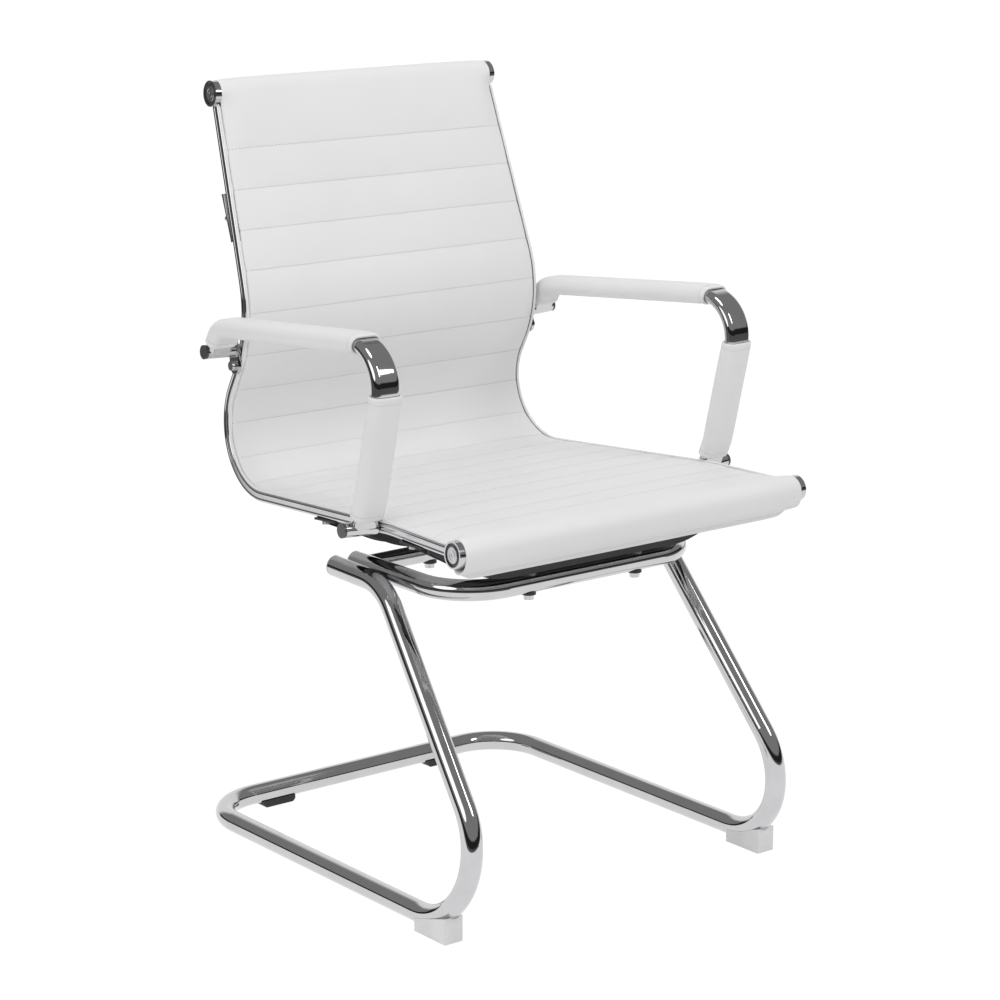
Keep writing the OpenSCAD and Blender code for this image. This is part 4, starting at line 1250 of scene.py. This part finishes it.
@dataclass
class Studio:
    """Camera, floor, lamps and surroundings.

    Attributes:
        eye: place of the camera.
        back: direction from the chair to the camera.
        lens: focal length in millimetres on a 36 mm sensor.
    """

    eye: tuple[float, float, float] = (-2.1438, -2.75895, 1.2766)
    back: tuple[float, float, float] = (-0.5998, -0.7644, 0.2363)
    lens: float = 108.56

    def camera(self) -> None:
        """Puts the camera where the photograph was taken from."""
        data = bpy.data.cameras.new("camera")
        data.lens, data.sensor_width, data.sensor_fit = self.lens, 36.0, "HORIZONTAL"
        made = put("camera", data)
        back = Vector(self.back).normalized()
        right = Vector((0, 0, 1)).cross(back).normalized()
        turned = Matrix((right, back.cross(right), back)).transposed()
        made.matrix_world = Matrix.Translation(self.eye) @ turned.to_4x4()
        bpy.context.scene.camera = made

    def lamp(self, name: str, at: Colour, size: Point, watts: float) -> None:
        """Adds a soft oval lamp that points at the chair.

        Args:
            name: name of the lamp.
            at: its place.
            size: its width and height.
            watts: its power.
        """
        data = bpy.data.lights.new(name, "AREA")
        data.shape, data.size, data.size_y, data.energy = "ELLIPSE", *size, watts
        aim = (Vector((0, 0, 0.45)) - Vector(at)).to_track_quat("-Z", "Y")
        put(name, data).matrix_world = Matrix.Translation(at) @ aim.to_matrix().to_4x4()

    def floor(self) -> None:
        """Lays a pale floor that stays white round the chair and keeps its shadow."""
        mesh = bpy.data.meshes.new("floor")
        w = 14.0
        mesh.from_pydata([(-w, -w, 0), (w, -w, 0), (w, w, 0), (-w, w, 0)], [], [(0, 1, 2, 3)])
        made = put("floor", mesh)
        draft = MaterialDraft("pale floor")
        draft.set(Base_Color=(0.86, 0.86, 0.86, 1), Roughness=0.7, Specular_IOR_Level=0.2)
        path = draft.node("ShaderNodeLightPath").outputs
        x, y, _ = draft.node("ShaderNodeSeparateXYZ", Vector=draft.at).outputs
        front = draft.math("ADD", draft.along(x, y, TOWARD), 0.4)
        across = draft.along(x, y, (TOWARD[1], -TOWARD[0]))
        front = draft.math("MAXIMUM", front, 0.0)
        squares = (draft.math("POWER", way, 2.0) for way in (front, across))
        apart = draft.math("SQRT", draft.math("ADD", *squares))
        # Metal sees the white sweep end in the dark, beside and in front of the chair
        dark = draft.ramp(apart, (2.25, 0.0), (2.7, 0.95))
        dark = draft.math("MULTIPLY", dark, path["Is Glossy Ray"])
        bright = draft.math("MULTIPLY", draft.math("SUBTRACT", 1.0, dark), 1.09)
        seen = draft.math("MAXIMUM", path["Is Camera Ray"], path["Is Transmission Ray"])
        seen = draft.math("MAXIMUM", seen, path["Is Glossy Ray"])
        share = draft.math("MULTIPLY", seen, 0.9)
        glow = draft.node("ShaderNodeEmission", Strength=bright)
        draft.feed([draft.out.inputs["Surface"]], draft.either(share, draft.shader, glow))
        mesh.materials.append(draft.material)

    def world(self) -> None:
        """Surrounds the chair: white as seen, and a bright room with dark gaps for the metal."""
        world = bpy.data.worlds.new("studio")
        bpy.context.scene.world = world
        world.use_nodes = True
        draft = TreeDraft(world.node_tree)
        draft.tree.nodes.clear()
        way = draft.node("ShaderNodeTexCoord").outputs["Generated"]
        x, y, z = draft.node("ShaderNodeSeparateXYZ", Vector=way).outputs
        # A white backdrop behind the chair, and a grey room with a dark skirting beside it
        share = draft.ramp(draft.along(x, y, TOWARD), (-0.74, 0.0), (-0.6, 1.0))
        backdrop = draft.ramp(z, (0.52, 1.0), (0.70, 0.14))
        room = draft.ramp(z, (0.13, 0.02), (0.17, 0.27))
        level = draft.node("ShaderNodeMix", data_type="FLOAT")
        draft.feed([level.inputs[k] for k in (0, 2, 3)], share, backdrop, room)
        shown = draft.blend(level, (0.0, 0.0, 0.0), (1.0, 1.0, 1.0))
        seen_by_metal = draft.node("ShaderNodeBackground", Color=shown, Strength=1.0)
        fill = draft.node("ShaderNodeBackground", Color=(0.985, 0.982, 1.0, 1), Strength=0.70)
        white = draft.node("ShaderNodeBackground", Color=(1, 1, 1, 1), Strength=1.0)
        path = draft.node("ShaderNodeLightPath").outputs
        glossy = draft.math("MAXIMUM", path["Is Glossy Ray"], path["Is Transmission Ray"])
        metal = draft.either(glossy, fill, seen_by_metal)
        seen = draft.either(path["Is Camera Ray"], metal, white)
        draft.node("ShaderNodeOutputWorld", Surface=seen)

    def build(self) -> None:
        """Sets the whole studio up."""
        bpy.context.scene.view_settings.view_transform = "Standard"
        self.camera()
        self.floor()
        self.world()
        self.lamp("overhead", (-0.3, -0.4, 2.9), (1.1, 1.1), 12)
        self.lamp("left softbox", (-2.45, -0.5, 1.5), (1.9, 1.3), 10)
        self.lamp("right softbox", (1.0, -2.3, 2.3), (0.7, 1.2), 12.5)


def main() -> None:
    """Builds the looks of the chair, piece by piece."""
    logging.basicConfig(level=logging.INFO, format="%(name)s: %(message)s")
    Studio().build()
    WARDROBE.dress_frame()
    tree = StitchTree()
    sling = Sling()
    cover = sling.build()
    LOG.info("sling: %d faces", len(cover.data.polygons))
    sling.sew(cover, tree)
    for side in Side:
        Piping(side).build()
    Arms().build(tree)


if __name__ == "__main__":
    main()
